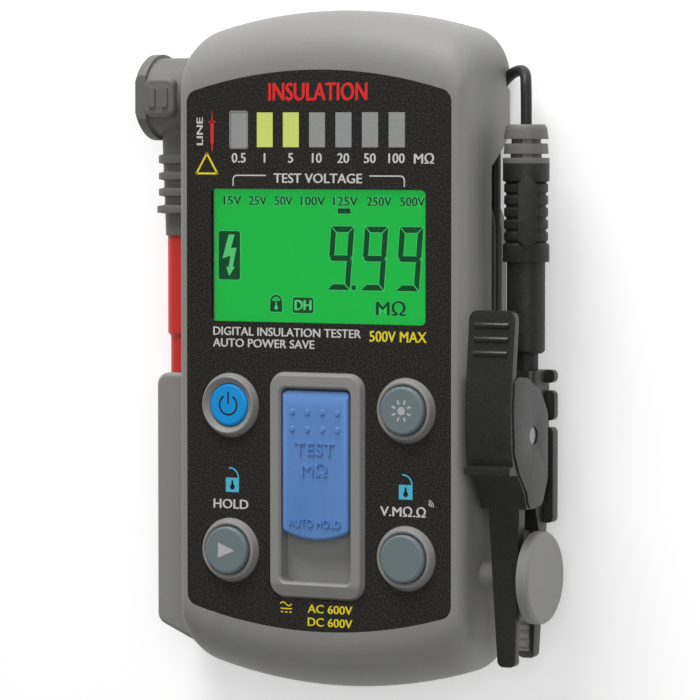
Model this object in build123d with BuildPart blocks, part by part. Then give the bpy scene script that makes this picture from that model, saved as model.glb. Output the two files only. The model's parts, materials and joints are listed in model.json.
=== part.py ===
"""Insulation resistance tester, lying on its back with its display up.

X runs across the case, Y towards the end that carries the LINE probe, Z out of the display.
The origin is in the middle of the flat back.
"""

import os
from math import cos, radians, sin, sqrt, tan

from build123d import *

os.makedirs("parts", exist_ok=True)

# ---- Case ----
case_width = 75.0
case_length = 159.0
case_depth = 30.0
parting_height = 17.0
wall = 2.0
end_radius = 115.0
corner_radius = 9.0
face_corner_radius = 4.0
front_end_roll = 13.2
front_side_roll = 2.5
front_side_roll_depth = 4.0
back_end_roll = 10.0
back_side_roll = 3.0
back_roll_depth = 9.0
roll_steps = 12

# ---- Fits ----
fit = 0.1
seat_gap = 0.15
running_fit = 0.05
moving_gap = 0.3

# ---- Front panel ----
overlay_width = case_width - 6.1
overlay_length = case_length - 28.2
overlay_thickness = 0.4
overlay_corner = 3.0
display_width = 56.0
display_length = 31.1
display_y = 22.15
display_corner = 1.2
display_window_thickness = 1.0
display_rim = 1.5
display_glass_thickness = 2.2
display_frame_width = 2.0
bar_count = 7
bar_pitch = 6.87
bar_width = 4.15
bar_length = 8.1
bar_y = 51.55
bar_sink = 0.05

# ---- Push buttons ----
button_radius = 5.6
power_button_radius = button_radius - 0.6
button_x = 23.0
upper_button_y = -13.0
lower_button_y = -47.2
button_stand = 2.4
power_button_stand = 1.0
button_flange = 1.0
button_flange_thickness = 1.0
button_edge = 0.7
bezel_radius = button_radius + 2.0
bezel_height = 1.5
bezel_taper = 25.0
bezel_lip = 0.5
power_dish_radius = button_radius + 0.9
power_dish_depth = 1.0
power_dish_taper = 50.0

# ---- Test slider ----
slider_width = 17.3
slider_length = 34.7
slider_top_y = -9.2
slider_stand = 1.2
slider_end_bow = 2.0
slider_travel = 9.5
slider_bezel_width = 25.0
slider_bezel_length = 52.9
slider_bezel_y = -31.25
slider_bezel_height = 1.3
slider_bezel_corner = 4.0
slider_bezel_edge = 0.5
slider_bezel_foot = 0.35
slider_side_gap = 0.45
slider_end_gap = 0.65
slider_floor_depth = 4.1
slider_floor_thickness = 1.5
slider_stem_width = 3.0
slider_stem_length = 8.0
slider_foot_width = 8.0
slider_foot_length = 12.0
slider_foot_thickness = 1.2
slider_bump_radius = 0.75
slider_bump = 0.3
slider_end_bevel = 1.8

# ---- Electronics ----
board_width = case_width - 9.0
board_length = case_length - 40.0
board_thickness = 1.6
board_drop = 7.6
board_boss_radius = 2.6
board_screw_radius = 1.0
board_screw_head_radius = 1.9
board_screw_head = 1.2
board_screw_x = board_width / 2 - 3.5
board_screw_y = button_radius - lower_button_y + 2.2
tact_switch_size = 6.0
button_travel = 0.8
button_room = board_drop - wall - fit - button_flange_thickness
tact_switch_height = button_room - button_travel - moving_gap

# ---- Case screws ----
case_screw_x = case_width / 2 - 13.5
case_screw_y = case_length / 2 - 15.5
case_boss_radius = 3.4
case_post_radius = 3.8
case_screw_radius = 1.5
case_screw_head_radius = 2.75
case_screw_head = 2.0
case_screw_seat = 12.0
case_screw_reach = 23.0

# ---- Earth lead and the waist that it is wound round ----
cord_radius = 1.3
cord_pitch = 2.7
wind_half_width = case_width / 2 - 3.7
wind_top = 40.0
wind_bottom = -30.0
wind_bend = 13.0
wind_first_height = 12.6
wind_turns = 4
waist_ceiling = 14.5
waist_top = 43.0
waist_bottom = -33.0
waist_top_slope = 10.0
waist_bottom_slope = 5.0
spool_lip = 2.2
spool_lip_thickness = 2.6
bushing_radius = 2.3
bushing_length = 5.0
cord_slot_width = 3.4
cord_slot_cover = 3.5

# ---- Batteries ----
cell_radius = 7.25
cell_length = 50.5
cell_nub_radius = 2.75
cell_nub = 1.3
cell_count = 4
cell_pitch = 14.6
cell_spring = 4.5
contact_thickness = 0.5
contact_size = 9.0
battery_y = 5.0
battery_cover_thickness = 1.6
battery_cover_corner = 4.0
battery_cover_side = 1.1
battery_cover_top = 2.0
battery_cover_bottom = 4.6
battery_roof = 1.2
battery_clearance = 0.2
battery_screw_y = -25.4
battery_screw_radius = 1.4
battery_screw_head_radius = 2.3
battery_screw_head = 0.8
battery_screw_length = 8.0

# ---- LINE probe ----
swivel_y = case_length / 2 - 20.2
swivel_z = 13.0
swivel_gap = 0.5
head_outer_x = case_width / 2 + 15.6
head_flange_radius = 10.3
head_flange = 2.9
head_radius = 9.45
head_flat = 8.9
finger_boss_width = 8.3
finger_boss_length = 9.4
finger_boss_reach = 11.0
finger_boss_x = -case_width / 2 - 8.1
line_probe_x = -case_width / 2 - 6.6
sleeve_end_y = swivel_y - 33.1
sleeve_top_radius = 5.9
sleeve_end_radius = 4.9
sleeve_rib = 6.6
sleeve_last_rib = 7.0
line_barrel_radius = 4.45
line_rod_radius = 3.75
line_step_y = swivel_y - 56.4
line_rod_end_y = swivel_y - 105.3
line_tip_radius = 1.5
line_tip_end_y = swivel_y - 119.3
plug_radius = 2.0
plug_length = 7.2
socket_radius = 3.4
socket_length = 10.0

# ---- Holster for the LINE probe ----
holster_outer_x = case_width / 2 + 11.9
holster_wall = 1.3
holster_back = 4.0
holster_front = 18.6
holster_top_y = swivel_y - 65.9
holster_bottom_y = swivel_y - 125.8
holster_foot_y = swivel_y - 131.1
holster_probe_gap = 0.25

# ---- EARTH probe ----
earth_x = case_width / 2 + 8.3
earth_z = 13.5
earth_turn = 27.0
boot_top_y = 52.8
boot_end_y = 43.8
boot_bridge = 2.2
grip_end_y = 21.1
grip_plate = 2.15
grip_radius = 5.4
grip_rib_radius = 5.1
grip_groove_radius = 4.6
earth_barrel_radius = 4.45
earth_barrel_end_y = 0.0
earth_collar_radius = 2.9
earth_collar = 3.9
earth_pin_radius = 2.0
earth_pin_end_y = -15.0

# ---- Crocodile clip and the post that it grips ----
clip_width = 12.3
clip_lever_width = 11.5
clip_core_width = 8.2
clip_tip_width = 4.4
clip_cheek_gap = 0.15
clip_pivot_y = -18.4
clip_pivot_z = 22.5
clip_pin_radius = 2.1
clip_ear = 2.0
clip_spring_wire = 0.9
clip_ear_radius = 3.4
clip_tooth_pitch = 2.0
clip_tooth_depth = 0.5
clip_insert = 0.8
clip_insert_width = 3.0
post_y = -51.45
post_z = 18.0
post_radius = 3.2
post_disc_radius = 10.75
post_disc = 2.8
post_outer_x = case_width / 2 + 15.6

# ---- Worked out from the sizes above ----
half_width = case_width / 2
half_length = case_length / 2
panel_inside = case_depth - wall
board_top = case_depth - board_drop
board_bottom = board_top - board_thickness
button_places = {
    "power_button": (-button_x, upper_button_y),
    "backlight_button": (button_x, upper_button_y),
    "hold_button": (-button_x, lower_button_y),
    "mode_button": (button_x, lower_button_y),
}
button_radii = {
    name: power_button_radius if name == "power_button" else button_radius
    for name in button_places
}
case_screw_places = GridLocations(2 * case_screw_x, 2 * case_screw_y, 2, 2).locations
board_screw_places = GridLocations(2 * board_screw_x, 2 * board_screw_y, 2, 2).locations
slider_floor = case_depth + slider_bezel_height - slider_floor_depth
slider_open_length = slider_length + slider_travel + 2 * slider_end_gap
slider_open_y = slider_top_y + slider_end_gap - slider_open_length / 2
slider_stem_y = slider_top_y - slider_length / 2
slider_open_foot = slider_open_y - slider_open_length / 2
display_seat = case_depth - overlay_thickness - display_window_thickness
core_half_width = wind_half_width - cord_radius - fit
core_top = wind_top - cord_radius - fit
core_bottom = wind_bottom + cord_radius + fit
core_bend = wind_bend - cord_radius - fit
battery_room_width = cell_count * cell_pitch + 2 * battery_clearance
battery_room_length = cell_length + cell_spring + 2 * contact_thickness
battery_floor = battery_cover_thickness
battery_ceiling = battery_floor + 2 * cell_radius + 5 * battery_clearance
cell_z = battery_floor + 4 * battery_clearance + cell_radius
battery_cover_y = battery_y + (battery_cover_top - battery_cover_bottom) / 2
battery_cover_length = battery_room_length + battery_cover_top + battery_cover_bottom
battery_cover_width = battery_room_width + 2 * battery_cover_side
last_wind_height = wind_first_height - (wind_turns - 1) * cord_pitch


def save(piece, name):
    """Label a finished piece and write it as one STEP file."""
    piece.part.label = name
    export_step(piece.part, f"parts/{name}.step")


def arched(half_w, half_l, corner):
    """An outline whose two short ends bow outwards."""
    shoulder = half_l - end_radius + sqrt(end_radius**2 - half_w**2)
    with BuildSketch() as outline:
        with BuildLine():
            ThreePointArc((-half_w, shoulder), (0, half_l), (half_w, shoulder))
            Line((half_w, shoulder), (half_w, -shoulder))
            ThreePointArc((half_w, -shoulder), (0, -half_l), (-half_w, -shoulder))
            Line((-half_w, -shoulder), (-half_w, shoulder))
        make_face()
        fillet(outline.vertices(), corner)
    return outline.sketch


def rolled_sections(inset, height_of, end_roll, side_in, corner_loss):
    """Sections from the full outline to the face, one for each step of the roll."""
    for step in range(roll_steps + 1):
        turn = radians(90 * step / roll_steps)
        rolled = 1 - cos(turn)
        height = height_of(sin(turn))
        yield (
            height,
            half_width - inset - side_in(height, rolled),
            half_length - inset - end_roll * rolled,
            corner_radius - inset - corner_loss * rolled,
        )


def front_solid(inset):
    """The front half of the case, smaller all round by the inset."""
    rise = case_depth - parting_height - inset
    share = (front_side_roll_depth - inset) / front_side_roll_depth
    roll_from = case_depth - front_side_roll_depth

    def side_in(height, rolled):
        over = max(0, height - roll_from) / (front_side_roll_depth * share)
        return front_side_roll * share * (1 - sqrt(max(0, 1 - over**2)))

    sections = rolled_sections(
        inset,
        lambda up: parting_height + rise * up,
        front_end_roll - inset,
        side_in,
        corner_radius - inset - face_corner_radius + inset / 2,
    )
    with BuildPart() as solid:
        for height, half_w, half_l, corner in sections:
            with BuildSketch(Plane.XY.offset(height)):
                add(arched(half_w, half_l, corner))
        loft(ruled=True)
    return solid.part


def rear_solid(inset):
    """The rear half of the case, smaller all round by the inset."""
    sections = rolled_sections(
        inset,
        lambda down: back_roll_depth - (back_roll_depth - inset) * down,
        back_end_roll - inset,
        lambda height, rolled: (back_side_roll - inset / 2) * rolled,
        back_side_roll,
    )
    with BuildPart() as solid:
        for height, half_w, half_l, corner in sections:
            with BuildSketch(Plane.XY.offset(height)):
                add(arched(half_w, half_l, corner))
        loft(ruled=True)
        with BuildSketch(Plane.XY.offset(back_roll_depth)):
            add(arched(half_width - inset, half_length - inset, corner_radius - inset))
        extrude(amount=parting_height - back_roll_depth)
    return solid.part


def spool(margin, thickness_from, thickness_to):
    """A plate of the shape that the lead is wound round, larger by the margin."""
    middle = (core_top + core_bottom) / 2
    with BuildPart() as plate:
        with BuildSketch(Plane.XY.offset(thickness_from)):
            with Locations((0, middle)):
                RectangleRounded(
                    2 * (core_half_width + margin),
                    core_top - core_bottom + 2 * margin,
                    core_bend + margin,
                )
        extrude(amount=thickness_to - thickness_from)
    return plate.part


def turned(points, axis_x, axis_z):
    """A turned piece along Y from (radius, y) points, closed along its axis."""
    with BuildPart() as piece:
        with BuildSketch(Plane.XY.offset(axis_z)):
            with BuildLine():
                Polyline(*[(axis_x + radius, y) for radius, y in points], close=True)
            make_face()
        revolve(axis=Axis((axis_x, 0, axis_z), (0, 1, 0)))
    return piece.part


def side_plate(points, middle_x, width):
    """A plate with a (y, z) outline, centred on middle_x."""
    with BuildPart() as plate:
        with BuildSketch(Plane.YZ.offset(middle_x - width / 2)):
            with BuildLine():
                Polyline(*points, close=True)
            make_face()
        extrude(amount=width)
    return plate.part


# ---- Waist of the rear cover ----
with BuildPart() as waist:
    add(
        side_plate(
            [
                (waist_bottom, waist_ceiling),
                (waist_bottom - waist_bottom_slope, 0),
                (waist_bottom - waist_bottom_slope, -wall),
                (waist_top + waist_top_slope, -wall),
                (waist_top + waist_top_slope, 0),
                (waist_top, waist_ceiling),
            ],
            0,
            2 * case_width,
        )
    )
    add(spool(0, -wall, waist_ceiling), mode=Mode.SUBTRACT)
    add(spool(spool_lip, -wall, spool_lip_thickness), mode=Mode.SUBTRACT)

with BuildPart() as hump_rooms:
    add(
        side_plate(
            [
                (waist_top + wall, parting_height),
                (waist_top + wall, waist_ceiling),
                (waist_top + waist_top_slope + wall, 0),
                (half_length, 0),
                (half_length, parting_height),
            ],
            0,
            case_width,
        )
    )
    add(
        side_plate(
            [
                (waist_bottom - wall, parting_height),
                (waist_bottom - wall, waist_ceiling),
                (waist_bottom - waist_bottom_slope - wall, 0),
                (-half_length, 0),
                (-half_length, parting_height),
            ],
            0,
            case_width,
        )
    )
    add(rear_solid(wall), mode=Mode.INTERSECT)

# ---- Earth lead: wound round the waist, then out at the side and down to its probe ----
cord_points = [Vector(-wind_half_width, waist_top, wind_first_height)]
for turn in range(wind_turns):
    height = wind_first_height - turn * cord_pitch
    cord_points.append(Vector(-wind_half_width, wind_bottom, height))
    cord_points.append(Vector(wind_half_width, wind_bottom, height))
    if turn < wind_turns - 1:
        cord_points.append(Vector(wind_half_width, wind_top, height))
        cord_points.append(Vector(-wind_half_width, wind_top, height - cord_pitch))
wound_corners = len(cord_points) - 1
cord_points.append(Vector(wind_half_width, boot_top_y + 7.4, last_wind_height))
cord_points.append(Vector(half_width + 0.3, boot_top_y + 12.0, last_wind_height))
cord_points.append(Vector(half_width + 5.9, boot_top_y + 12.8, (last_wind_height + earth_z) / 2))
cord_points.append(Vector(earth_x, boot_top_y + 9.0, earth_z))
cord_points.append(Vector(earth_x, boot_top_y, earth_z))


def bend_radius(before, corner, after):
    """The largest comfortable bend between two runs of the lead."""
    turn = (corner - before).get_angle(after - corner)
    shorter = min((corner - before).length, (after - corner).length)
    return 0.45 * shorter / tan(radians(turn / 2))


cord_bends = [wind_bend] * wound_corners
for corner in range(wound_corners + 1, len(cord_points) - 1):
    cord_bends.append(bend_radius(*cord_points[corner - 1 : corner + 2]))
print("lead bend radii", [round(bend, 1) for bend in cord_bends])

with BuildPart() as earth_cord:
    with BuildLine() as cord_line:
        FilletPolyline(*cord_points, radius=cord_bends)
    with BuildSketch(Plane(origin=cord_line.line @ 0, z_dir=cord_line.line % 0)):
        Circle(cord_radius)
    sweep(path=cord_line.line)
print("lead length", round(cord_line.wire().length, 1))
save(earth_cord, "earth_cord")

with BuildPart() as cord_bushing:
    with BuildSketch(Plane.XZ.offset(-waist_top)):
        with Locations((-wind_half_width, wind_first_height)):
            Circle(bushing_radius)
    extrude(amount=-bushing_length)
save(cord_bushing, "cord_bushing")

# ---- Rear cover ----
with BuildPart() as cord_slot:
    with BuildSketch(Plane.XY.offset(-wall)):
        with BuildLine() as slot_line:
            FilletPolyline(
                (wind_half_width, waist_top - wall),
                (wind_half_width, cord_points[-5].Y),
                (cord_points[-4].X, cord_points[-4].Y),
                (cord_points[-4].X + 5, cord_points[-4].Y + 1.5),
                radius=cord_bends[-4:-2],
            )
        trace(slot_line.line, line_width=cord_slot_width)
    extrude(amount=wall + last_wind_height + cord_slot_width / 2)

with BuildPart() as cord_slot_block:
    with BuildSketch():
        with Locations((half_width, (waist_top + cord_points[-4].Y + cord_slot_cover) / 2)):
            Rectangle(
                2 * (half_width - wind_half_width + cord_slot_cover),
                cord_points[-4].Y + cord_slot_cover - waist_top,
            )
    extrude(amount=last_wind_height + cord_slot_cover)
    add(rear_solid(0), mode=Mode.INTERSECT)
    add(waist.part, mode=Mode.SUBTRACT)

with BuildPart() as screw_posts:
    with BuildSketch():
        with Locations(*case_screw_places):
            Circle(case_post_radius)
    extrude(amount=parting_height)
    add(rear_solid(0), mode=Mode.INTERSECT)

with BuildPart() as holster:
    with BuildSketch(Plane.XY.offset(holster_back)):
        with BuildLine():
            Polyline(
                (-half_width, holster_top_y),
                (-holster_outer_x, holster_top_y),
                (-holster_outer_x, holster_bottom_y),
                (-half_width, holster_foot_y),
                (-half_width + corner_radius / 2, holster_foot_y),
                (-half_width + corner_radius / 2, holster_foot_y + corner_radius),
                (-half_width, holster_foot_y + corner_radius),
                close=True,
            )
        make_face()
    extrude(amount=holster_front - holster_back)
    fillet(holster.edges().filter_by(Axis.Z).sort_by(Axis.X)[:2], 3.0)
    fillet(holster.edges().group_by(Axis.Z)[-1], 1.2)
    add(front_solid(-moving_gap), mode=Mode.SUBTRACT)
    add(rear_solid(wall), mode=Mode.SUBTRACT)
    with BuildSketch(Plane.XY.offset(holster_back - wall)):
        with BuildLine():
            Polyline(
                (line_probe_x + line_rod_radius + holster_probe_gap, holster_top_y + wall),
                (line_probe_x - line_rod_radius - holster_probe_gap, holster_top_y + wall),
                (line_probe_x - line_rod_radius - holster_probe_gap, line_tip_end_y - wall),
                (line_probe_x + line_rod_radius + holster_probe_gap, line_tip_end_y - wall),
                close=True,
            )
        make_face()
    extrude(
        amount=holster_front - holster_wall - holster_back + wall,
        mode=Mode.SUBTRACT,
    )

with BuildPart() as rear_cover:
    add(rear_solid(0))
    add(waist.part, mode=Mode.SUBTRACT)
    add(hump_rooms.part, mode=Mode.SUBTRACT)
    add(cord_slot_block.part)
    add(screw_posts.part)
    # Battery room, its roof standing a little above the parting line
    with BuildSketch(Plane.XY.offset(waist_ceiling)):
        with Locations((0, battery_y)):
            Rectangle(battery_room_width + wall, battery_room_length + wall)
    extrude(amount=battery_ceiling + battery_roof - waist_ceiling)
    with BuildSketch():
        with Locations((0, battery_y)):
            Rectangle(battery_room_width, battery_room_length)
    extrude(amount=battery_ceiling, mode=Mode.SUBTRACT)
    with BuildSketch():
        with Locations((0, battery_cover_y)):
            RectangleRounded(
                battery_cover_width + 2 * seat_gap,
                battery_cover_length + 2 * seat_gap,
                battery_cover_corner,
            )
    extrude(amount=battery_cover_thickness, mode=Mode.SUBTRACT)
    with BuildSketch():
        with Locations((0, battery_screw_y)):
            Circle(battery_screw_radius + running_fit)
    extrude(amount=battery_screw_length + wall, mode=Mode.SUBTRACT)
    # Case screws
    with BuildSketch():
        with Locations(*case_screw_places):
            Circle(case_screw_head_radius + seat_gap)
    extrude(amount=case_screw_seat, mode=Mode.SUBTRACT)
    with BuildSketch(Plane.XY.offset(case_screw_seat)):
        with Locations(*case_screw_places):
            Circle(case_screw_radius + running_fit)
    extrude(amount=parting_height - case_screw_seat, mode=Mode.SUBTRACT)
    # Lead, socket and holster
    add(cord_slot.part, mode=Mode.SUBTRACT)
    add(cord_bushing.part, mode=Mode.SUBTRACT)
    with BuildSketch(Plane.YZ.offset(-half_width)):
        with Locations((swivel_y, swivel_z)):
            Circle(socket_radius)
    extrude(amount=2 * wall, mode=Mode.SUBTRACT)
    add(holster.part)
save(rear_cover, "rear_cover")

# ---- Battery cover ----
with BuildPart() as battery_cover:
    with BuildSketch():
        with Locations((0, battery_cover_y)):
            RectangleRounded(battery_cover_width, battery_cover_length, battery_cover_corner)
    extrude(amount=battery_cover_thickness)
    with BuildSketch():
        with Locations((0, battery_y + battery_room_length / 2 - 6)):
            with GridLocations(0, 2.4, 1, 4):
                SlotOverall(18, 1.2)
    extrude(amount=0.5, mode=Mode.SUBTRACT)
    with BuildSketch():
        with Locations((0, battery_screw_y)):
            Circle(battery_screw_head_radius + seat_gap)
    extrude(amount=battery_screw_head, mode=Mode.SUBTRACT)
    with BuildSketch():
        with Locations((0, battery_screw_y)):
            Circle(battery_screw_radius + running_fit)
    extrude(amount=battery_cover_thickness, mode=Mode.SUBTRACT)
save(battery_cover, "battery_cover")

with BuildPart() as battery_cover_screw:
    with BuildSketch(Plane.XY.offset(fit)):
        with Locations((0, battery_screw_y)):
            Circle(battery_screw_head_radius)
    extrude(amount=battery_screw_head - fit)
    with BuildSketch(Plane.XY.offset(battery_screw_head)):
        with Locations((0, battery_screw_y)):
            Circle(battery_screw_radius)
    extrude(amount=battery_screw_length)
    with BuildSketch(Plane.XY.offset(fit)):
        with Locations((0, battery_screw_y)):
            Rectangle(3.2, 0.7)
            Rectangle(0.7, 3.2)
    extrude(amount=0.5, mode=Mode.SUBTRACT)
save(battery_cover_screw, "battery_cover_screw")

# ---- Cells and their contacts ----
cell_far = battery_y + battery_room_length / 2 - contact_thickness
cell_near = battery_y - battery_room_length / 2 + contact_thickness
spring_solids = []
contact_solids = []
for number in range(cell_count):
    cell_x = (number - (cell_count - 1) / 2) * cell_pitch
    facing = 1 if number % 2 == 0 else -1
    nub_y = cell_far if facing == 1 else cell_near
    spring_y = cell_near if facing == 1 else cell_far
    nub_plane = Plane(origin=(cell_x, nub_y, cell_z), z_dir=(0, facing, 0), x_dir=(1, 0, 0))
    spring_plane = Plane(
        origin=(cell_x, spring_y, cell_z), z_dir=(0, facing, 0), x_dir=(1, 0, 0)
    )
    with BuildPart() as cell:
        with BuildSketch(nub_plane):
            Circle(cell_nub_radius)
        extrude(amount=-cell_nub)
        with BuildSketch(nub_plane.offset(-cell_nub)):
            Circle(cell_radius)
        extrude(amount=-(cell_length - cell_nub))
        fillet(cell.edges().filter_by(GeomType.CIRCLE).filter_by(lambda e: e.radius > 7), 0.6)
    save(cell, f"cell_{number + 1}")
    with BuildPart() as contact:
        with BuildSketch(nub_plane):
            Rectangle(contact_size, contact_size)
        extrude(amount=contact_thickness)
    contact_solids.append(contact.part)
    with BuildPart() as spring:
        with BuildSketch(spring_plane):
            Rectangle(contact_size, contact_size)
        extrude(amount=-contact_thickness)
        for ring in range(5):
            with BuildSketch(spring_plane.offset(0.4 + 0.85 * ring)):
                Circle(4.2 - 0.35 * ring)
                Circle(3.2 - 0.35 * ring, mode=Mode.SUBTRACT)
            extrude(amount=0.45, both=True)
    spring_solids.append(spring.part)

battery_contacts = Compound(label="battery_contacts", children=contact_solids)
export_step(battery_contacts, "parts/battery_contacts.step")
battery_springs = Compound(label="battery_springs", children=spring_solids)
export_step(battery_springs, "parts/battery_springs.step")

# ---- Front cover ----
with BuildPart() as pillars:
    with BuildSketch(Plane.XY.offset(parting_height)):
        with Locations(*case_screw_places):
            Circle(case_boss_radius)
    extrude(amount=case_depth - parting_height)
    with BuildSketch(Plane.XY.offset(board_top)):
        with Locations(*board_screw_places):
            Circle(board_boss_radius)
    extrude(amount=board_drop)
    add(front_solid(0), mode=Mode.INTERSECT)

with BuildPart() as slider_well:
    with BuildSketch(Plane.XY.offset(slider_floor - slider_floor_thickness)):
        with Locations((0, slider_open_y)):
            Rectangle(
                slider_width + 2 * slider_side_gap + 2 * wall,
                slider_open_length + 2 * wall,
            )
    extrude(amount=case_depth - overlay_thickness - slider_floor + slider_floor_thickness)

with BuildPart() as button_bezels:
    with BuildSketch(Plane.XY.offset(case_depth - overlay_thickness)):
        with Locations(*button_places.values()):
            Circle(bezel_radius)
    extrude(amount=bezel_height + overlay_thickness, taper=bezel_taper)
    fillet(button_bezels.edges().group_by(Axis.Z)[-1], slider_bezel_edge)

with BuildPart() as slider_bezel:
    with BuildSketch(Plane.XY.offset(case_depth - overlay_thickness)):
        with Locations((0, slider_bezel_y)):
            RectangleRounded(slider_bezel_width, slider_bezel_length, slider_bezel_corner)
    extrude(amount=slider_bezel_height + overlay_thickness, taper=bezel_taper)
    fillet(slider_bezel.edges().group_by(Axis.Z)[-1], slider_bezel_edge)
    add(
        side_plate(
            [
                (slider_open_foot - bezel_lip, case_depth + slider_bezel_height),
                (slider_bezel_y - slider_bezel_length / 2, case_depth + slider_bezel_foot),
                (slider_bezel_y - slider_bezel_length, case_depth + slider_bezel_foot),
                (slider_bezel_y - slider_bezel_length, case_depth + 2 * slider_bezel_height),
                (slider_open_foot - bezel_lip, case_depth + 2 * slider_bezel_height),
            ],
            0,
            2 * slider_bezel_width,
        ),
        mode=Mode.SUBTRACT,
    )

with BuildPart() as front_cover:
    add(front_solid(0))
    add(front_solid(wall), mode=Mode.SUBTRACT)
    add(pillars.part)
    add(slider_well.part)
    with BuildSketch(Plane.XY.offset(case_depth)):
        add(arched(overlay_width / 2 + fit, overlay_length / 2 + fit, overlay_corner + fit))
    extrude(amount=-overlay_thickness, mode=Mode.SUBTRACT)
    # Raised bezels
    add(button_bezels.part)
    add(slider_bezel.part)
    # Openings for the buttons
    for name, place in button_places.items():
        with BuildSketch(Plane.XY.offset(case_depth + bezel_height)):
            with Locations(place):
                Circle(button_radii[name] + seat_gap)
        extrude(amount=-(bezel_height + wall), mode=Mode.SUBTRACT)
        with BuildSketch(Plane.XY.offset(case_depth + bezel_height)):
            with Locations(place):
                Circle(button_radii[name] + seat_gap + bezel_lip)
        extrude(amount=-bezel_lip, taper=45, mode=Mode.SUBTRACT)
    with BuildSketch(Plane.XY.offset(case_depth + bezel_height)):
        with Locations(button_places["power_button"]):
            Circle(power_dish_radius)
    extrude(amount=-power_dish_depth, taper=power_dish_taper, mode=Mode.SUBTRACT)
    # Opening for the slider, and the slot for its stem
    with BuildSketch(Plane.XY.offset(slider_floor)):
        with Locations((0, slider_open_y)):
            RectangleRounded(slider_width + 2 * slider_side_gap, slider_open_length, 1.5)
    extrude(amount=slider_floor_depth, mode=Mode.SUBTRACT)
    with BuildSketch(Plane.XY.offset(case_depth + slider_bezel_height)):
        with Locations((0, slider_open_y)):
            RectangleRounded(
                slider_width + 2 * slider_side_gap + 2 * bezel_lip,
                slider_open_length + 2 * bezel_lip,
                1.5 + bezel_lip,
            )
    extrude(amount=-bezel_lip, taper=45, mode=Mode.SUBTRACT)
    with BuildSketch(Plane.XY.offset(slider_floor)):
        with Locations((0, slider_stem_y - slider_travel / 2)):
            Rectangle(
                slider_stem_width + 2 * seat_gap,
                slider_stem_length + slider_travel + 2 * seat_gap,
            )
    extrude(amount=-slider_floor_thickness, mode=Mode.SUBTRACT)
    # Display and light bars
    with BuildSketch(Plane.XY.offset(case_depth)):
        with Locations((0, display_y)):
            Rectangle(
                display_width + 2 * display_rim + 2 * fit,
                display_length + 2 * display_rim + 2 * fit,
            )
    extrude(amount=display_seat - case_depth, mode=Mode.SUBTRACT)
    with BuildSketch(Plane.XY.offset(case_depth)):
        with Locations((0, display_y)):
            Rectangle(display_width, display_length)
    extrude(amount=-wall, mode=Mode.SUBTRACT)
    with BuildSketch(Plane.XY.offset(case_depth)):
        with Locations((0, bar_y)):
            with GridLocations(bar_pitch, 0, bar_count, 1):
                Rectangle(bar_width + 2 * fit, bar_length + 2 * fit)
    extrude(amount=-wall, mode=Mode.SUBTRACT)
    # Screw holes
    with BuildSketch(Plane.XY.offset(parting_height)):
        with Locations(*case_screw_places):
            Circle(case_screw_radius + running_fit)
    extrude(amount=case_screw_reach - parting_height + fit, mode=Mode.SUBTRACT)
    with BuildSketch(Plane.XY.offset(board_top)):
        with Locations(*board_screw_places):
            Circle(board_screw_radius + running_fit)
    extrude(amount=4.0, mode=Mode.SUBTRACT)
save(front_cover, "front_cover")

with BuildPart() as panel_overlay:
    with BuildSketch(Plane.XY.offset(case_depth - overlay_thickness)):
        add(arched(overlay_width / 2, overlay_length / 2, overlay_corner))
        with Locations(*button_places.values()):
            Circle(bezel_radius + fit, mode=Mode.SUBTRACT)
        with Locations((0, slider_bezel_y)):
            RectangleRounded(
                slider_bezel_width + 2 * fit,
                slider_bezel_length + 2 * fit,
                slider_bezel_corner + fit,
                mode=Mode.SUBTRACT,
            )
        with Locations((0, display_y)):
            RectangleRounded(
                display_width,
                display_length,
                display_corner,
                mode=Mode.SUBTRACT,
            )
        with Locations((0, bar_y)):
            with GridLocations(bar_pitch, 0, bar_count, 1):
                Rectangle(bar_width + 2 * fit, bar_length + 2 * fit, mode=Mode.SUBTRACT)
    extrude(amount=overlay_thickness)
save(panel_overlay, "panel_overlay")

# ---- Display ----
glass_width = display_width + 2 * display_rim
glass_length = display_length + 2 * display_rim
with BuildPart() as lcd_window:
    with BuildSketch(Plane.XY.offset(display_seat)):
        with Locations((0, display_y)):
            Rectangle(glass_width, glass_length)
    extrude(amount=display_window_thickness)
save(lcd_window, "lcd_window")

with BuildPart() as lcd_glass:
    with BuildSketch(Plane.XY.offset(panel_inside - display_glass_thickness)):
        with Locations((0, display_y)):
            Rectangle(glass_width, glass_length)
    extrude(amount=display_glass_thickness)
save(lcd_glass, "lcd_glass")

with BuildPart() as lcd_backlight:
    with BuildSketch(Plane.XY.offset(board_top)):
        with Locations((0, display_y)):
            Rectangle(glass_width, glass_length)
    extrude(amount=panel_inside - display_glass_thickness - board_top)
save(lcd_backlight, "lcd_backlight")

with BuildPart() as lcd_frame:
    with BuildSketch(Plane.XY.offset(board_top)):
        with Locations((0, display_y)):
            Rectangle(
                glass_width + 2 * fit + 2 * display_frame_width,
                glass_length + 2 * fit + 2 * display_frame_width,
            )
            Rectangle(glass_width + 2 * fit, glass_length + 2 * fit, mode=Mode.SUBTRACT)
    extrude(amount=panel_inside - fit - board_top)
save(lcd_frame, "lcd_frame")

for number in range(bar_count):
    bar_x = (number - (bar_count - 1) / 2) * bar_pitch
    with BuildPart() as bar:
        with BuildSketch(Plane.XY.offset(board_top)):
            with Locations((bar_x, bar_y)):
                Rectangle(bar_width, bar_length)
        extrude(amount=board_drop - bar_sink)
    save(bar, f"led_bar_{number + 1}")

# ---- Circuit board and what it carries ----
with BuildPart() as main_board:
    with BuildSketch(Plane.XY.offset(board_bottom)):
        Rectangle(board_width, board_length)
        with Locations(*board_screw_places):
            Circle(board_screw_radius + running_fit, mode=Mode.SUBTRACT)
    extrude(amount=board_thickness)
save(main_board, "main_board")

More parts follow.
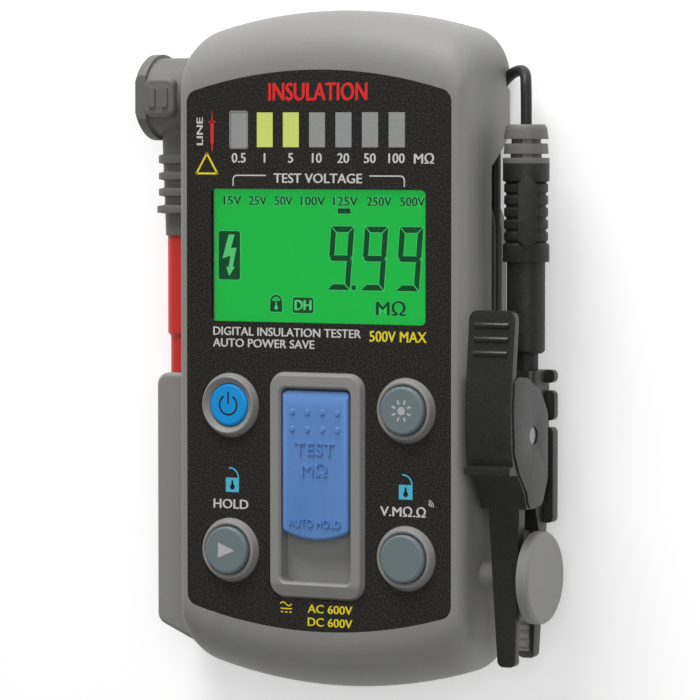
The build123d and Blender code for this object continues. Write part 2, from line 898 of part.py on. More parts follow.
with BuildPart() as board_screws:
    with BuildSketch(Plane.XY.offset(board_bottom - board_screw_head)):
        with Locations(*board_screw_places):
            Circle(board_screw_head_radius)
    extrude(amount=board_screw_head)
    with BuildSketch(Plane.XY.offset(board_bottom)):
        with Locations(*board_screw_places):
            Circle(board_screw_radius)
    extrude(amount=board_thickness + 3.5)
save(board_screws, "board_screws")

with BuildPart() as tact_switches:
    with BuildSketch(Plane.XY.offset(board_top)):
        with Locations(*button_places.values()):
            Rectangle(tact_switch_size, tact_switch_size)
    extrude(amount=tact_switch_height)
save(tact_switches, "tact_switches")

slider_foot_bottom = slider_floor - slider_floor_thickness - fit - slider_foot_thickness
slider_contact_thickness = 0.4
with BuildPart() as slider_switch:
    with BuildSketch(Plane.XY.offset(board_top)):
        with Locations((0, slider_stem_y - slider_travel / 2)):
            Rectangle(12, slider_foot_length + slider_travel + 2)
    extrude(amount=slider_foot_bottom - slider_contact_thickness - fit - board_top)
save(slider_switch, "slider_switch")

with BuildPart() as controller_chip:
    with BuildSketch(Plane.XY.offset(board_bottom)):
        with Locations((-12, 42)):
            Rectangle(10, 10)
    extrude(amount=-1.4)
save(controller_chip, "controller_chip")

with BuildPart() as hv_transformer:
    with BuildSketch(Plane.XY.offset(board_bottom)):
        with Locations((8, (waist_top + board_length / 2) / 2 + 4)):
            Rectangle(16, 9)
    extrude(amount=-8.0)
save(hv_transformer, "hv_transformer")

with BuildPart() as buzzer:
    with BuildSketch(Plane.XY.offset(board_bottom)):
        with Locations((18, waist_bottom - 14)):
            Circle(6.0)
    extrude(amount=-6.8)
save(buzzer, "buzzer")

fuse_y = waist_bottom - 16
fuse_z = board_bottom - 4.5
with BuildPart() as fuse:
    with BuildSketch(Plane.YZ.offset(-16)):
        with Locations((fuse_y, fuse_z)):
            Circle(2.5)
    extrude(amount=20)
save(fuse, "fuse")

with BuildPart() as fuse_clips:
    with BuildSketch(Plane.XY.offset(board_bottom)):
        with Locations((-13, fuse_y), (1, fuse_y)):
            Rectangle(4, 6.4)
    extrude(amount=-6.0)
    add(fuse.part, mode=Mode.SUBTRACT)
save(fuse_clips, "fuse_clips")

with BuildPart() as line_socket:
    with BuildSketch(Plane.YZ.offset(-half_width)):
        with Locations((swivel_y, swivel_z)):
            Circle(socket_radius)
    extrude(amount=socket_length)
    with BuildSketch(Plane.XY.offset(swivel_z)):
        with Locations((-half_width + socket_length - 1, swivel_y)):
            Rectangle(1.2, 2)
    extrude(amount=board_bottom - swivel_z)
    with BuildSketch(Plane.YZ.offset(-half_width)):
        with Locations((swivel_y, swivel_z)):
            Circle(plug_radius + running_fit)
    extrude(amount=plug_length + seat_gap, mode=Mode.SUBTRACT)
save(line_socket, "line_socket")

with BuildPart() as case_screws:
    with BuildSketch(Plane.XY.offset(case_screw_seat - case_screw_head)):
        with Locations(*case_screw_places):
            Circle(case_screw_head_radius)
    extrude(amount=case_screw_head)
    with BuildSketch(Plane.XY.offset(case_screw_seat)):
        with Locations(*case_screw_places):
            Circle(case_screw_radius)
    extrude(amount=case_screw_reach - case_screw_seat)
    with BuildSketch(Plane.XY.offset(case_screw_seat - case_screw_head)):
        with Locations(*case_screw_places):
            Rectangle(3.4, 0.8)
            Rectangle(0.8, 3.4)
    extrude(amount=1.0, mode=Mode.SUBTRACT)
save(case_screws, "case_screws")

# ---- Buttons ----
flange_top = panel_inside - fit
for name, place in button_places.items():
    stand = power_button_stand if name == "power_button" else button_stand
    with BuildPart() as button:
        with BuildSketch(Plane.XY.offset(flange_top)):
            with Locations(place):
                Circle(button_radii[name] + button_flange)
        extrude(amount=-button_flange_thickness)
        with BuildSketch(Plane.XY.offset(flange_top)):
            with Locations(place):
                Circle(button_radii[name])
        extrude(amount=case_depth + stand - flange_top)
        fillet(button.edges().group_by(Axis.Z)[-1], button_edge)
    save(button, name)

# ---- Test slider ----
slider_top = case_depth + slider_stand
slider_bottom = slider_floor + seat_gap
slider_side_y = slider_top_y - slider_length + slider_end_bow
with BuildPart() as test_slider:
    with BuildSketch(Plane.XY.offset(slider_bottom)):
        with BuildLine():
            Line((-slider_width / 2, slider_side_y), (-slider_width / 2, slider_top_y))
            Line((-slider_width / 2, slider_top_y), (slider_width / 2, slider_top_y))
            Line((slider_width / 2, slider_top_y), (slider_width / 2, slider_side_y))
            ThreePointArc(
                (slider_width / 2, slider_side_y),
                (0, slider_top_y - slider_length),
                (-slider_width / 2, slider_side_y),
            )
        make_face()
    extrude(amount=slider_top - slider_bottom)
    fillet(test_slider.edges().filter_by(Axis.Z), 1.3)
    fillet(test_slider.edges().group_by(Axis.Z)[-1], 0.7)
    add(
        side_plate(
            [
                (slider_top_y - slider_end_bevel, slider_top),
                (slider_top_y + slider_end_bevel, slider_top - slider_end_bevel),
                (slider_top_y + slider_end_bevel, slider_top + slider_end_bevel),
                (slider_top_y - slider_end_bevel, slider_top + slider_end_bevel),
            ],
            0,
            2 * slider_width,
        ),
        mode=Mode.SUBTRACT,
    )
    with BuildSketch(Plane.XY.offset(slider_top)):
        with Locations((0, slider_top_y - 6.9)):
            with GridLocations(3.93, 4.0, 4, 2):
                Circle(slider_bump_radius)
    extrude(amount=slider_bump, taper=35)
    with BuildSketch(Plane.XY.offset(slider_bottom)):
        with Locations((0, slider_stem_y)):
            Rectangle(slider_stem_width, slider_stem_length)
    extrude(amount=-(slider_bottom - slider_foot_bottom))
    with BuildSketch(Plane.XY.offset(slider_foot_bottom)):
        with Locations((0, slider_stem_y)):
            Rectangle(slider_foot_width, slider_foot_length)
    extrude(amount=slider_foot_thickness)
save(test_slider, "test_slider")

with BuildPart() as slider_contact:
    with BuildSketch(Plane.XY.offset(slider_foot_bottom)):
        with Locations((0, slider_stem_y)):
            Rectangle(slider_foot_width - 2, slider_foot_length - 4)
    extrude(amount=-slider_contact_thickness)
save(slider_contact, "slider_contact")

# ---- LINE probe on its swivel ----
sleeve_ribs = [
    (swivel_y - 13.6, swivel_y - 16.0, sleeve_rib),
    (swivel_y - 17.8, swivel_y - 19.9, sleeve_rib),
    (swivel_y - 21.6, swivel_y - 23.8, sleeve_rib),
    (swivel_y - 25.7, swivel_y - 27.9, sleeve_last_rib),
]
sleeve_top_y = swivel_y - head_radius / 2
sleeve_outline = [(0, sleeve_top_y), (sleeve_top_radius, sleeve_top_y)]
for rib_top, rib_bottom, rib_radius in sleeve_ribs:
    fade = (sleeve_top_y - rib_top) / (sleeve_top_y - sleeve_end_y)
    body_radius = sleeve_top_radius + (sleeve_end_radius - sleeve_top_radius) * fade
    sleeve_outline += [
        (body_radius, rib_top),
        (rib_radius, rib_top - 0.3),
        (rib_radius, rib_bottom + 0.3),
        (body_radius - 0.1, rib_bottom),
    ]
sleeve_outline += [(sleeve_end_radius, sleeve_end_y), (0, sleeve_end_y)]
sleeve_socket_y = sleeve_end_y + 10
head_inner_x = half_width + swivel_gap

with BuildPart() as probe_barrel:
    add(
        turned(
            [
                (0, sleeve_socket_y),
                (line_barrel_radius - 1, sleeve_socket_y),
                (line_barrel_radius - 1, sleeve_end_y),
                (line_barrel_radius, sleeve_end_y),
                (line_barrel_radius, line_step_y),
                (line_rod_radius, line_step_y - 0.9),
                (line_rod_radius, line_rod_end_y + 2),
                (line_rod_radius - 1, line_rod_end_y),
                (0, line_rod_end_y),
            ],
            line_probe_x,
            swivel_z,
        )
    )
    with BuildSketch(Plane.XZ.offset(-line_rod_end_y)):
        with Locations((line_probe_x, swivel_z)):
            Circle(line_tip_radius)
    extrude(amount=-6, mode=Mode.SUBTRACT)
save(probe_barrel, "probe_barrel")

with BuildPart() as probe_tip:
    add(
        turned(
            [
                (0, line_rod_end_y + 6),
                (line_tip_radius, line_rod_end_y + 6),
                (line_tip_radius, line_tip_end_y + 3.5),
                (0.4, line_tip_end_y),
                (0, line_tip_end_y),
            ],
            line_probe_x,
            swivel_z,
        )
    )
save(probe_tip, "probe_tip")

with BuildPart() as probe_sleeve:
    add(turned(sleeve_outline, line_probe_x, swivel_z))
    with BuildSketch(Plane.YZ.offset(-head_inner_x)):
        with Locations((swivel_y / 2, swivel_z)):
            Rectangle(2 * case_length, case_depth)
    extrude(amount=case_width, mode=Mode.SUBTRACT)
    add(probe_barrel.part, mode=Mode.SUBTRACT)
save(probe_sleeve, "probe_sleeve")

with BuildPart() as probe_plug_pin:
    with BuildSketch(Plane.YZ.offset(-head_inner_x - 4)):
        with Locations((swivel_y, swivel_z)):
            Circle(plug_radius)
    extrude(amount=4 + swivel_gap + plug_length)
    fillet(probe_plug_pin.edges().group_by(Axis.X)[-1], 0.8)
save(probe_plug_pin, "probe_plug_pin")

with BuildPart() as finger_boss:
    with BuildSketch(Plane.XY.offset(swivel_z)):
        with Locations((finger_boss_x, swivel_y)):
            RectangleRounded(finger_boss_width, finger_boss_length, 2.0)
    extrude(amount=finger_boss_reach)
    fillet(finger_boss.edges().group_by(Axis.Z)[-1], 1.2)
    with BuildSketch(Plane.XY.offset(swivel_z + finger_boss_reach)):
        with Locations((finger_boss_x, swivel_y)):
            with GridLocations(3.4, 0, 2, 1):
                RectangleRounded(1.8, 4.9, 0.6)
    extrude(amount=0.5)

with BuildPart() as probe_head:
    with BuildSketch(Plane.YZ.offset(-head_outer_x)):
        with Locations((swivel_y, swivel_z)):
            Circle(head_flange_radius)
    extrude(amount=head_flange)
    chamfer(probe_head.edges().group_by(Axis.X)[0], 0.7)
    with BuildSketch(Plane.XY.offset(swivel_z + head_flat)):
        with Locations((-head_outer_x, swivel_y)):
            Rectangle(4 * head_flange, 4 * head_radius)
    extrude(amount=head_flange_radius, mode=Mode.SUBTRACT)
    with BuildSketch(Plane.YZ.offset(-head_outer_x + head_flange)):
        with Locations((swivel_y, swivel_z)):
            Circle(head_radius)
    extrude(amount=head_outer_x - head_flange - head_inner_x)
    fillet(probe_head.edges().group_by(Axis.X)[-1], 1.2)
    add(finger_boss.part)
    add(probe_sleeve.part, mode=Mode.SUBTRACT)
    add(probe_plug_pin.part, mode=Mode.SUBTRACT)
save(probe_head, "probe_head")

# ---- EARTH probe ----
boot_slots = [(boot_top_y - 4.0, 3.4), (boot_top_y - 7.2, 3.6)]
with BuildPart() as earth_boot:
    add(
        turned(
            [
                (0, boot_top_y),
                (4.3, boot_top_y),
                (4.8, boot_top_y - 0.7),
                (5.2, boot_slots[0][0] + 0.6),
                (boot_slots[0][1], boot_slots[0][0] + 0.6),
                (boot_slots[0][1], boot_slots[0][0] - 0.4),
                (5.0, boot_slots[0][0] - 0.4),
                (5.2, boot_slots[1][0] + 0.4),
                (boot_slots[1][1], boot_slots[1][0] + 0.4),
                (boot_slots[1][1], boot_slots[1][0] - 0.5),
                (grip_radius, boot_slots[1][0] - 0.5),
                (grip_radius, boot_end_y),
                (0, boot_end_y),
            ],
            earth_x,
            earth_z,
        )
    )
    for slot_y, floor_radius in boot_slots:
        with Locations(
            Location((earth_x, slot_y, earth_z), (0, earth_turn, 0)),
            Location((earth_x, slot_y, earth_z), (0, earth_turn + 180, 0)),
        ):
            Box(boot_bridge, 1.4, 4.7, align=(Align.CENTER, Align.CENTER, Align.MIN))
save(earth_boot, "earth_boot")

grip_rib_count = 5
grip_rib_pitch = 2.8
grip_rib_length = 1.7
grip_collar = 4.0
grip_first_rib = boot_end_y - grip_collar - 0.8
grip_outline = [
    (0, boot_end_y),
    (grip_radius, boot_end_y),
    (grip_radius, boot_end_y - grip_collar),
]
for rib in range(grip_rib_count):
    rib_top = grip_first_rib - rib * grip_rib_pitch
    rib_bottom = rib_top - grip_rib_length
    grip_outline += [
        (grip_groove_radius, rib_top + 0.4),
        (grip_rib_radius, rib_top),
        (grip_rib_radius, rib_bottom),
        (grip_groove_radius, rib_bottom - 0.4),
    ]
grip_outline += [
    (grip_radius, grip_end_y + grip_collar),
    (grip_radius, grip_end_y),
    (0, grip_end_y),
]
with BuildPart() as earth_grip:
    add(turned(grip_outline, earth_x, earth_z))
    with BuildSketch(Plane(Location((earth_x, 0, earth_z), (0, earth_turn, 0)))):
        with BuildLine():
            Polyline(
                (0, boot_end_y - 2.6),
                (grip_plate, boot_end_y - 4.6),
                (grip_plate, grip_end_y + 5.0),
                (0, grip_end_y + 3.0),
                (-grip_plate, grip_end_y + 5.0),
                (-grip_plate, boot_end_y - 4.6),
                close=True,
            )
        make_face()
    extrude(amount=grip_radius + 0.3)
save(earth_grip, "earth_grip")

collar_end_y = earth_barrel_end_y - earth_collar
with BuildPart() as earth_barrel:
    add(
        turned(
            [
                (0, grip_end_y),
                (earth_barrel_radius, grip_end_y),
                (earth_barrel_radius, earth_barrel_end_y + 0.6),
                (earth_barrel_radius - 0.6, earth_barrel_end_y),
                (earth_collar_radius, earth_barrel_end_y),
                (earth_collar_radius, collar_end_y),
                (0, collar_end_y),
            ],
            earth_x,
            earth_z,
        )
    )
save(earth_barrel, "earth_barrel")

with BuildPart() as earth_pin:
    add(
        turned(
            [
                (0, collar_end_y),
                (earth_pin_radius, collar_end_y),
                (earth_pin_radius, earth_pin_end_y + 1),
                (earth_pin_radius - 1, earth_pin_end_y),
                (0, earth_pin_end_y),
            ],
            earth_x,
            earth_z,
        )
    )
save(earth_pin, "earth_pin")

# ---- Post on the case side ----
with BuildPart() as clip_post:
    with BuildSketch(Plane.YZ.offset(half_width)):
        with Locations((post_y, post_z)):
            Circle(post_radius)
    extrude(amount=post_outer_x - post_disc - half_width)
    with BuildSketch(Plane.YZ.offset(post_outer_x - post_disc)):
        with Locations((post_y, post_z)):
            Circle(post_disc_radius)
    extrude(amount=post_disc)
    fillet(clip_post.edges().group_by(Axis.X)[-1], 1.2)
save(clip_post, "clip_post")

# ---- Crocodile clip ----
jaw_rear_z = post_z - post_radius
jaw_front_z = post_z + post_radius + seat_gap
jaw_root_y = -35.2
jaw_tip_y = -71.9
insert_from_y = -41.0
insert_to_y = -69.0
arm_back_z = earth_z - 4.1
socket_top_z = earth_z + 4.1
ear_x = clip_core_width / 2 - clip_ear / 2


def tooth_row(z, outward):
    """A metal strip with a row of teeth towards the post."""
    back_z = z + outward * clip_insert
    points = [(insert_to_y, back_z), (insert_from_y, back_z), (insert_from_y, z)]
    count = int((insert_from_y - insert_to_y) / clip_tooth_pitch)
    for tooth in range(count):
        start = insert_from_y - tooth * clip_tooth_pitch
        points.append((start - clip_tooth_pitch / 2, z))
        points.append((start - clip_tooth_pitch * 0.75, z + outward * clip_tooth_depth))
        points.append((start - clip_tooth_pitch, z))
    return side_plate(points, earth_x, clip_insert_width)


def tapered_jaw(root_y, tip_y, low_z, high_z):
    """A block that narrows from the clip's core width to its tip."""
    with BuildPart() as taper:
        with BuildSketch(Plane.XY.offset(low_z)):
            with BuildLine():
                Polyline(
                    (earth_x - clip_core_width / 2, root_y),
                    (earth_x + clip_core_width / 2, root_y),
                    (earth_x + clip_tip_width / 2, tip_y),
                    (earth_x - clip_tip_width / 2, tip_y),
                    close=True,
                )
            make_face()
        extrude(amount=high_z - low_z)
        fillet(taper.edges().filter_by(Axis.Z).sort_by(Axis.Y)[:2], 1.5)
    return taper.part


with BuildPart() as rear_jaw:
    add(
        side_plate(
            [
                (jaw_root_y + 4, arm_back_z),
                (jaw_root_y + 4, 16.6),
                (jaw_root_y, 16.6),
                (insert_from_y, jaw_rear_z - clip_insert),
                (insert_to_y, jaw_rear_z - clip_insert),
                (jaw_tip_y + 1, 12.6),
                (jaw_tip_y + 1, 10.6),
            ],
            earth_x,
            clip_core_width,
        )
    )
    add(tapered_jaw(jaw_root_y + 4, jaw_tip_y + 1, 0, case_depth), mode=Mode.INTERSECT)

with BuildPart() as clip_base:
    add(
        side_plate(
            [
                (collar_end_y, arm_back_z),
                (collar_end_y, socket_top_z),
                (-17.0, socket_top_z),
                (-24.0, 16.6),
                (jaw_root_y + 4, 16.6),
                (jaw_root_y + 4, arm_back_z),
            ],
            earth_x,
            clip_core_width,
        )
    )
    fillet(clip_base.edges().filter_by(Axis.Y).sort_by(Axis.Z)[-2:], 2.0)
    for ridge_from, ridge_to, ridge_z in [
        (collar_end_y, -6.9, 11.0),
        (-8.7, -15.6, 11.0),
        (-17.2, -39.3, 11.8),
    ]:
        with BuildSketch(Plane.XY.offset(arm_back_z - 0.4)):
            with Locations((earth_x, (ridge_from + ridge_to) / 2)):
                RectangleRounded(clip_width, ridge_from - ridge_to, 1.2)
        extrude(amount=ridge_z - arm_back_z + 0.4)
    add(rear_jaw.part)
    for side in (-1, 1):
        with BuildSketch(Plane.YZ.offset(earth_x + side * ear_x - clip_ear / 2)):
            with Locations((clip_pivot_y, clip_pivot_z)):
                Circle(clip_ear_radius)
            with Locations((clip_pivot_y, (clip_pivot_z + earth_z) / 2)):
                Rectangle(2 * clip_ear_radius, clip_pivot_z - earth_z)
        extrude(amount=clip_ear)
    with BuildSketch(Plane.XZ.offset(-collar_end_y)):
        with Locations((earth_x, earth_z)):
            Circle(earth_pin_radius + running_fit)
    extrude(amount=collar_end_y - earth_pin_end_y + fit, mode=Mode.SUBTRACT)
    with BuildSketch(Plane.YZ.offset(earth_x - clip_width / 2)):
        with Locations((clip_pivot_y, clip_pivot_z)):
            Circle(clip_pin_radius)
    extrude(amount=clip_width, mode=Mode.SUBTRACT)
save(clip_base, "clip_base")

with BuildPart() as clip_teeth_rear:
    add(tooth_row(jaw_rear_z, -1))
save(clip_teeth_rear, "clip_teeth_rear")

with BuildPart() as clip_teeth_front:
    add(tooth_row(jaw_front_z, 1))
save(clip_teeth_front, "clip_teeth_front")

with BuildPart() as clip_pivot_pin:
    with BuildSketch(Plane.YZ.offset(earth_x - clip_width / 2 + 0.4)):
        with Locations((clip_pivot_y, clip_pivot_z)):
            Circle(clip_pin_radius)
    extrude(amount=clip_width - 0.8)
save(clip_pivot_pin, "clip_pivot_pin")

spring_width = clip_core_width - 2 * clip_ear - 2 * fit
with BuildPart() as clip_spring:
    with BuildSketch(Plane.YZ.offset(earth_x - spring_width / 2)):
        with Locations((clip_pivot_y, clip_pivot_z)):
            Circle(clip_pin_radius + clip_spring_wire)
            Circle(clip_pin_radius, mode=Mode.SUBTRACT)
    extrude(amount=spring_width)
    with BuildSketch(Plane.YZ.offset(earth_x - 0.5)):
        with Locations((clip_pivot_y + clip_pin_radius + clip_spring_wire / 2, clip_pivot_z)):
            Rectangle(
                clip_spring_wire,
                clip_pivot_z - socket_top_z,
                align=(Align.CENTER, Align.MAX),
            )
    extrude(amount=1.0)
save(clip_spring, "clip_spring")

cheek = (clip_width - clip_core_width) / 2 - clip_cheek_gap
with BuildPart() as front_jaw:
    add(
        side_plate(
            [
                (jaw_root_y + 5, 22.1),
                (jaw_root_y + 5, 26.4),
                (jaw_root_y, 25.5),
                (jaw_tip_y, 24.0),
                (jaw_tip_y, jaw_front_z),
                (insert_to_y, jaw_front_z + clip_insert),
                (insert_from_y, jaw_front_z + clip_insert),
            ],
            earth_x,
            clip_core_width,
        )
    )
    add(tapered_jaw(jaw_root_y + 5, jaw_tip_y, 0, 2 * case_depth), mode=Mode.INTERSECT)

with BuildPart() as clip_lever:
    with BuildSketch(Plane.YZ.offset(earth_x - clip_lever_width / 2)):
        with BuildLine():
            Spline((10.5, 31.9), (0, 33.0), (-12, 34.2), (-19, 34.1), (-24.8, 32.9))
            Polyline(
                (-24.8, 32.9),
                (-25.1, 34.9),
                (-26.8, 34.9),
                (-27.0, 30.5),
                (-31.5, 26.9),
                (jaw_root_y, 25.5),
                (jaw_root_y, 20.6),
                (-30, 20.6),
                (-27, 28.0),
            )
            Spline((-27, 28.0), (-20, 31.4), (-12, 31.9), (0, 30.8), (10.5, 29.8))
            Line((10.5, 29.8), (10.5, 31.9))
        make_face()
    extrude(amount=clip_lever_width)
    fillet(clip_lever.edges().filter_by(Axis.Z).sort_by(Axis.Y)[-2:], 2.0)
    for ridge in range(3):
        with BuildSketch(Plane.YZ.offset(earth_x - clip_lever_width / 2 + 1.5)):
            with Locations((7.1 - 3.2 * ridge, 32.0 + 0.36 * ridge)):
                Circle(0.7)
        extrude(amount=clip_lever_width - 3)
    for side in (-1, 1):
        cheek_x = earth_x + side * (clip_width - cheek) / 2
        with BuildSketch(Plane.YZ.offset(cheek_x - cheek / 2)):
            with BuildLine():
                FilletPolyline(
                    (-4.4, 32.6),
                    (-4.9, 26.0),
                    (-8.3, 18.5),
                    (-13.5, 14.5),
                    (-28.5, 14.5),
                    (jaw_root_y + 0.6, 17.6),
                    (jaw_root_y, 24.9),
                    (-31.3, 26.0),
                    (-26.4, 30.4),
                    (-22, 32.8),
                    (-12, 33.4),
                    radius=2.4,
                    close=True,
                )
            make_face()
        extrude(amount=cheek)
    add(front_jaw.part)
    with BuildSketch(Plane.YZ.offset(earth_x - clip_width / 2)):
        with Locations((clip_pivot_y, clip_pivot_z)):
            Circle(clip_pin_radius + running_fit)
    extrude(amount=clip_width, mode=Mode.SUBTRACT)
save(clip_lever, "clip_lever")
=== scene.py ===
"""Looks of the insulation resistance tester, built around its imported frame."""
import json
from math import cos, pi, radians, sin

import bmesh
import bpy
from mathutils import Matrix, Vector


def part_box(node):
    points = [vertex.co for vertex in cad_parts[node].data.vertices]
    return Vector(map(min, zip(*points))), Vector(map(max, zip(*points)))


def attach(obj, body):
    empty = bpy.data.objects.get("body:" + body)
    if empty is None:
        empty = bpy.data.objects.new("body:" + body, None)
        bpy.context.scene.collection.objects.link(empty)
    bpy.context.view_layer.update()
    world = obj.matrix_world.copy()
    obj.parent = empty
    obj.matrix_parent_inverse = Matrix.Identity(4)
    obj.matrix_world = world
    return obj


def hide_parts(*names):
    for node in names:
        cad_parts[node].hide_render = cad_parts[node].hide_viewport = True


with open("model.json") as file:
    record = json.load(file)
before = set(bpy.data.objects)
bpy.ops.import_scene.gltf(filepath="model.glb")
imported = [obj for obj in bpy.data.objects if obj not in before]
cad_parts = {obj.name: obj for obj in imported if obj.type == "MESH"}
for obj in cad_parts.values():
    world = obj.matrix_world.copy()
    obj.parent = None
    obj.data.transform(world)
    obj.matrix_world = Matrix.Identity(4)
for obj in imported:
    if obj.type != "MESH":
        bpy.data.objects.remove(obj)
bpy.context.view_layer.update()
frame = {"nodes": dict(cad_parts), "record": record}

nodes = frame["nodes"]
scene = bpy.context.scene
MM = 0.001

# ---- Heights that the print and the lettering stand on ----
panel_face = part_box("panel_overlay")[1].z
glass_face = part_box("lcd_glass")[1].z
slider_face = 31.2 * MM
ink = 0.03 * MM
film_gap = 0.01 * MM
raised = 0.36 * MM
letter_root = 0.02 * MM


def mm(*lengths):
    """A point given in millimetres."""
    return Vector(lengths) * MM


# ---- Camera ----
def aim(thing, place, target, up):
    """Stand a camera or a lamp at a place, looking at a target."""
    back = (place - target).normalized()
    right = up.cross(back).normalized()
    turn = Matrix((right, back.cross(right), back)).transposed().to_4x4()
    thing.matrix_world = Matrix.Translation(place) @ turn


camera_place = mm(446.6, 51.0, 895.2)
camera_target = mm(6.84, 0.4, 26.5)
camera_data = bpy.data.cameras.new("bench_camera")
camera_data.lens = 215.6
camera_data.sensor_width = 36.0
camera_data.clip_end = 20.0
camera = bpy.data.objects.new("bench_camera", camera_data)
scene.collection.objects.link(camera)
aim(camera, camera_place, camera_target, Vector((0, 1, 0)))
scene.camera = camera

# ---- Earth lead: its route repeats the one in the part, in metres ----
lead_radius = 1.3
wind_half_width = 33.8
wind_top = 40.0
wind_bottom = -30.0
wind_pitch = 2.7
wind_turns = 4
wind_first_height = 12.6
wind_hold = 26.0
lead_start = (-wind_half_width, 43.0, wind_first_height)
lead_tail = [
    (wind_half_width, 44.0, 4.5),
    (wind_half_width, 52.0, 4.5),
    (wind_half_width, 60.2, 4.5),
    (37.8, 64.8, 4.5),
    (43.4, 65.6, 9.0),
    (45.8, 61.8, 13.5),
    (45.8, 52.8, 13.5),
]


def side_points(start, end):
    """A wound side of the lead: its corner, and where it is held straight."""
    start, end = Vector(start), Vector(end)
    along = (end - start).normalized() * wind_hold
    return [start, start + along, end - along]


def lead_route():
    """All the points of the lead, from the case to the earth probe."""
    x, route = wind_half_width, []
    route += side_points(lead_start, (-x, wind_bottom, wind_first_height))[:2]
    for turn in range(wind_turns):
        height = wind_first_height - turn * wind_pitch
        lower_left, lower_right = (-x, wind_bottom, height), (x, wind_bottom, height)
        upper_right = (x, wind_top, height)
        upper_left = (-x, wind_top, height - wind_pitch)
        next_left = (-x, wind_bottom, height - wind_pitch)
        route += side_points(lower_left, lower_right)
        if turn < wind_turns - 1:
            route += side_points(lower_right, upper_right)
            route += side_points(upper_right, upper_left)
            route += side_points(upper_left, next_left)
        else:
            route += side_points(lower_right, lead_tail[0])
    return [Vector(point) * MM for point in route + [Vector(p) for p in lead_tail]]


def lay_lead():
    """The lead as one smooth curve, its thickness set point by point."""
    curve = bpy.data.curves.new("test_lead", "CURVE")
    curve.dimensions = "3D"
    curve.bevel_depth = 1.0
    curve.bevel_resolution = 6
    curve.resolution_u = 8
    route = lead_route()
    spline = curve.splines.new("NURBS")
    spline.points.add(len(route) - 1)
    for point, place in zip(spline.points, route):
        point.co = (*place, 1)
        point.radius = lead_radius * MM
    spline.order_u = 3
    spline.use_endpoint_u = True
    lead = bpy.data.objects.new("test_lead", curve)
    scene.collection.objects.link(lead)
    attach(lead, "case")
    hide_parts("earth_cord")
    return lead


lead = lay_lead()


# ---- Finishes ----
def new_group(name, inputs, outputs):
    """An empty node group with named sockets: each is (name, kind, default)."""
    group = bpy.data.node_groups.new(name, "ShaderNodeTree")
    for label, kind, default in inputs:
        socket = group.interface.new_socket(label, in_out="INPUT", socket_type=kind)
        socket.default_value = default
    for label, kind in outputs:
        group.interface.new_socket(label, in_out="OUTPUT", socket_type=kind)
    return group


def put(tree, kind, **settings):
    """A node in the tree, its own settings and its sockets' values set by name."""
    node = tree.nodes.new(kind)
    for name, value in settings.items():
        if hasattr(node, name):
            setattr(node, name, value)
        else:
            node.inputs[name.replace("_", " ")].default_value = value
    return node


def blend_node(tree, first, second, amount):
    """Mix two colours, each a socket or a plain colour, by a socket's amount."""
    mix = tree.nodes.new("ShaderNodeMix")
    mix.data_type = "RGBA"
    for socket, value in ((mix.inputs[6], first), (mix.inputs[7], second)):
        if isinstance(value, bpy.types.NodeSocket):
            tree.links.new(value, socket)
        else:
            socket.default_value = value
    tree.links.new(amount, mix.inputs[0])
    return mix.outputs[2]


FLOAT, COLOUR, VECTOR = "NodeSocketFloat", "NodeSocketColor", "NodeSocketVector"


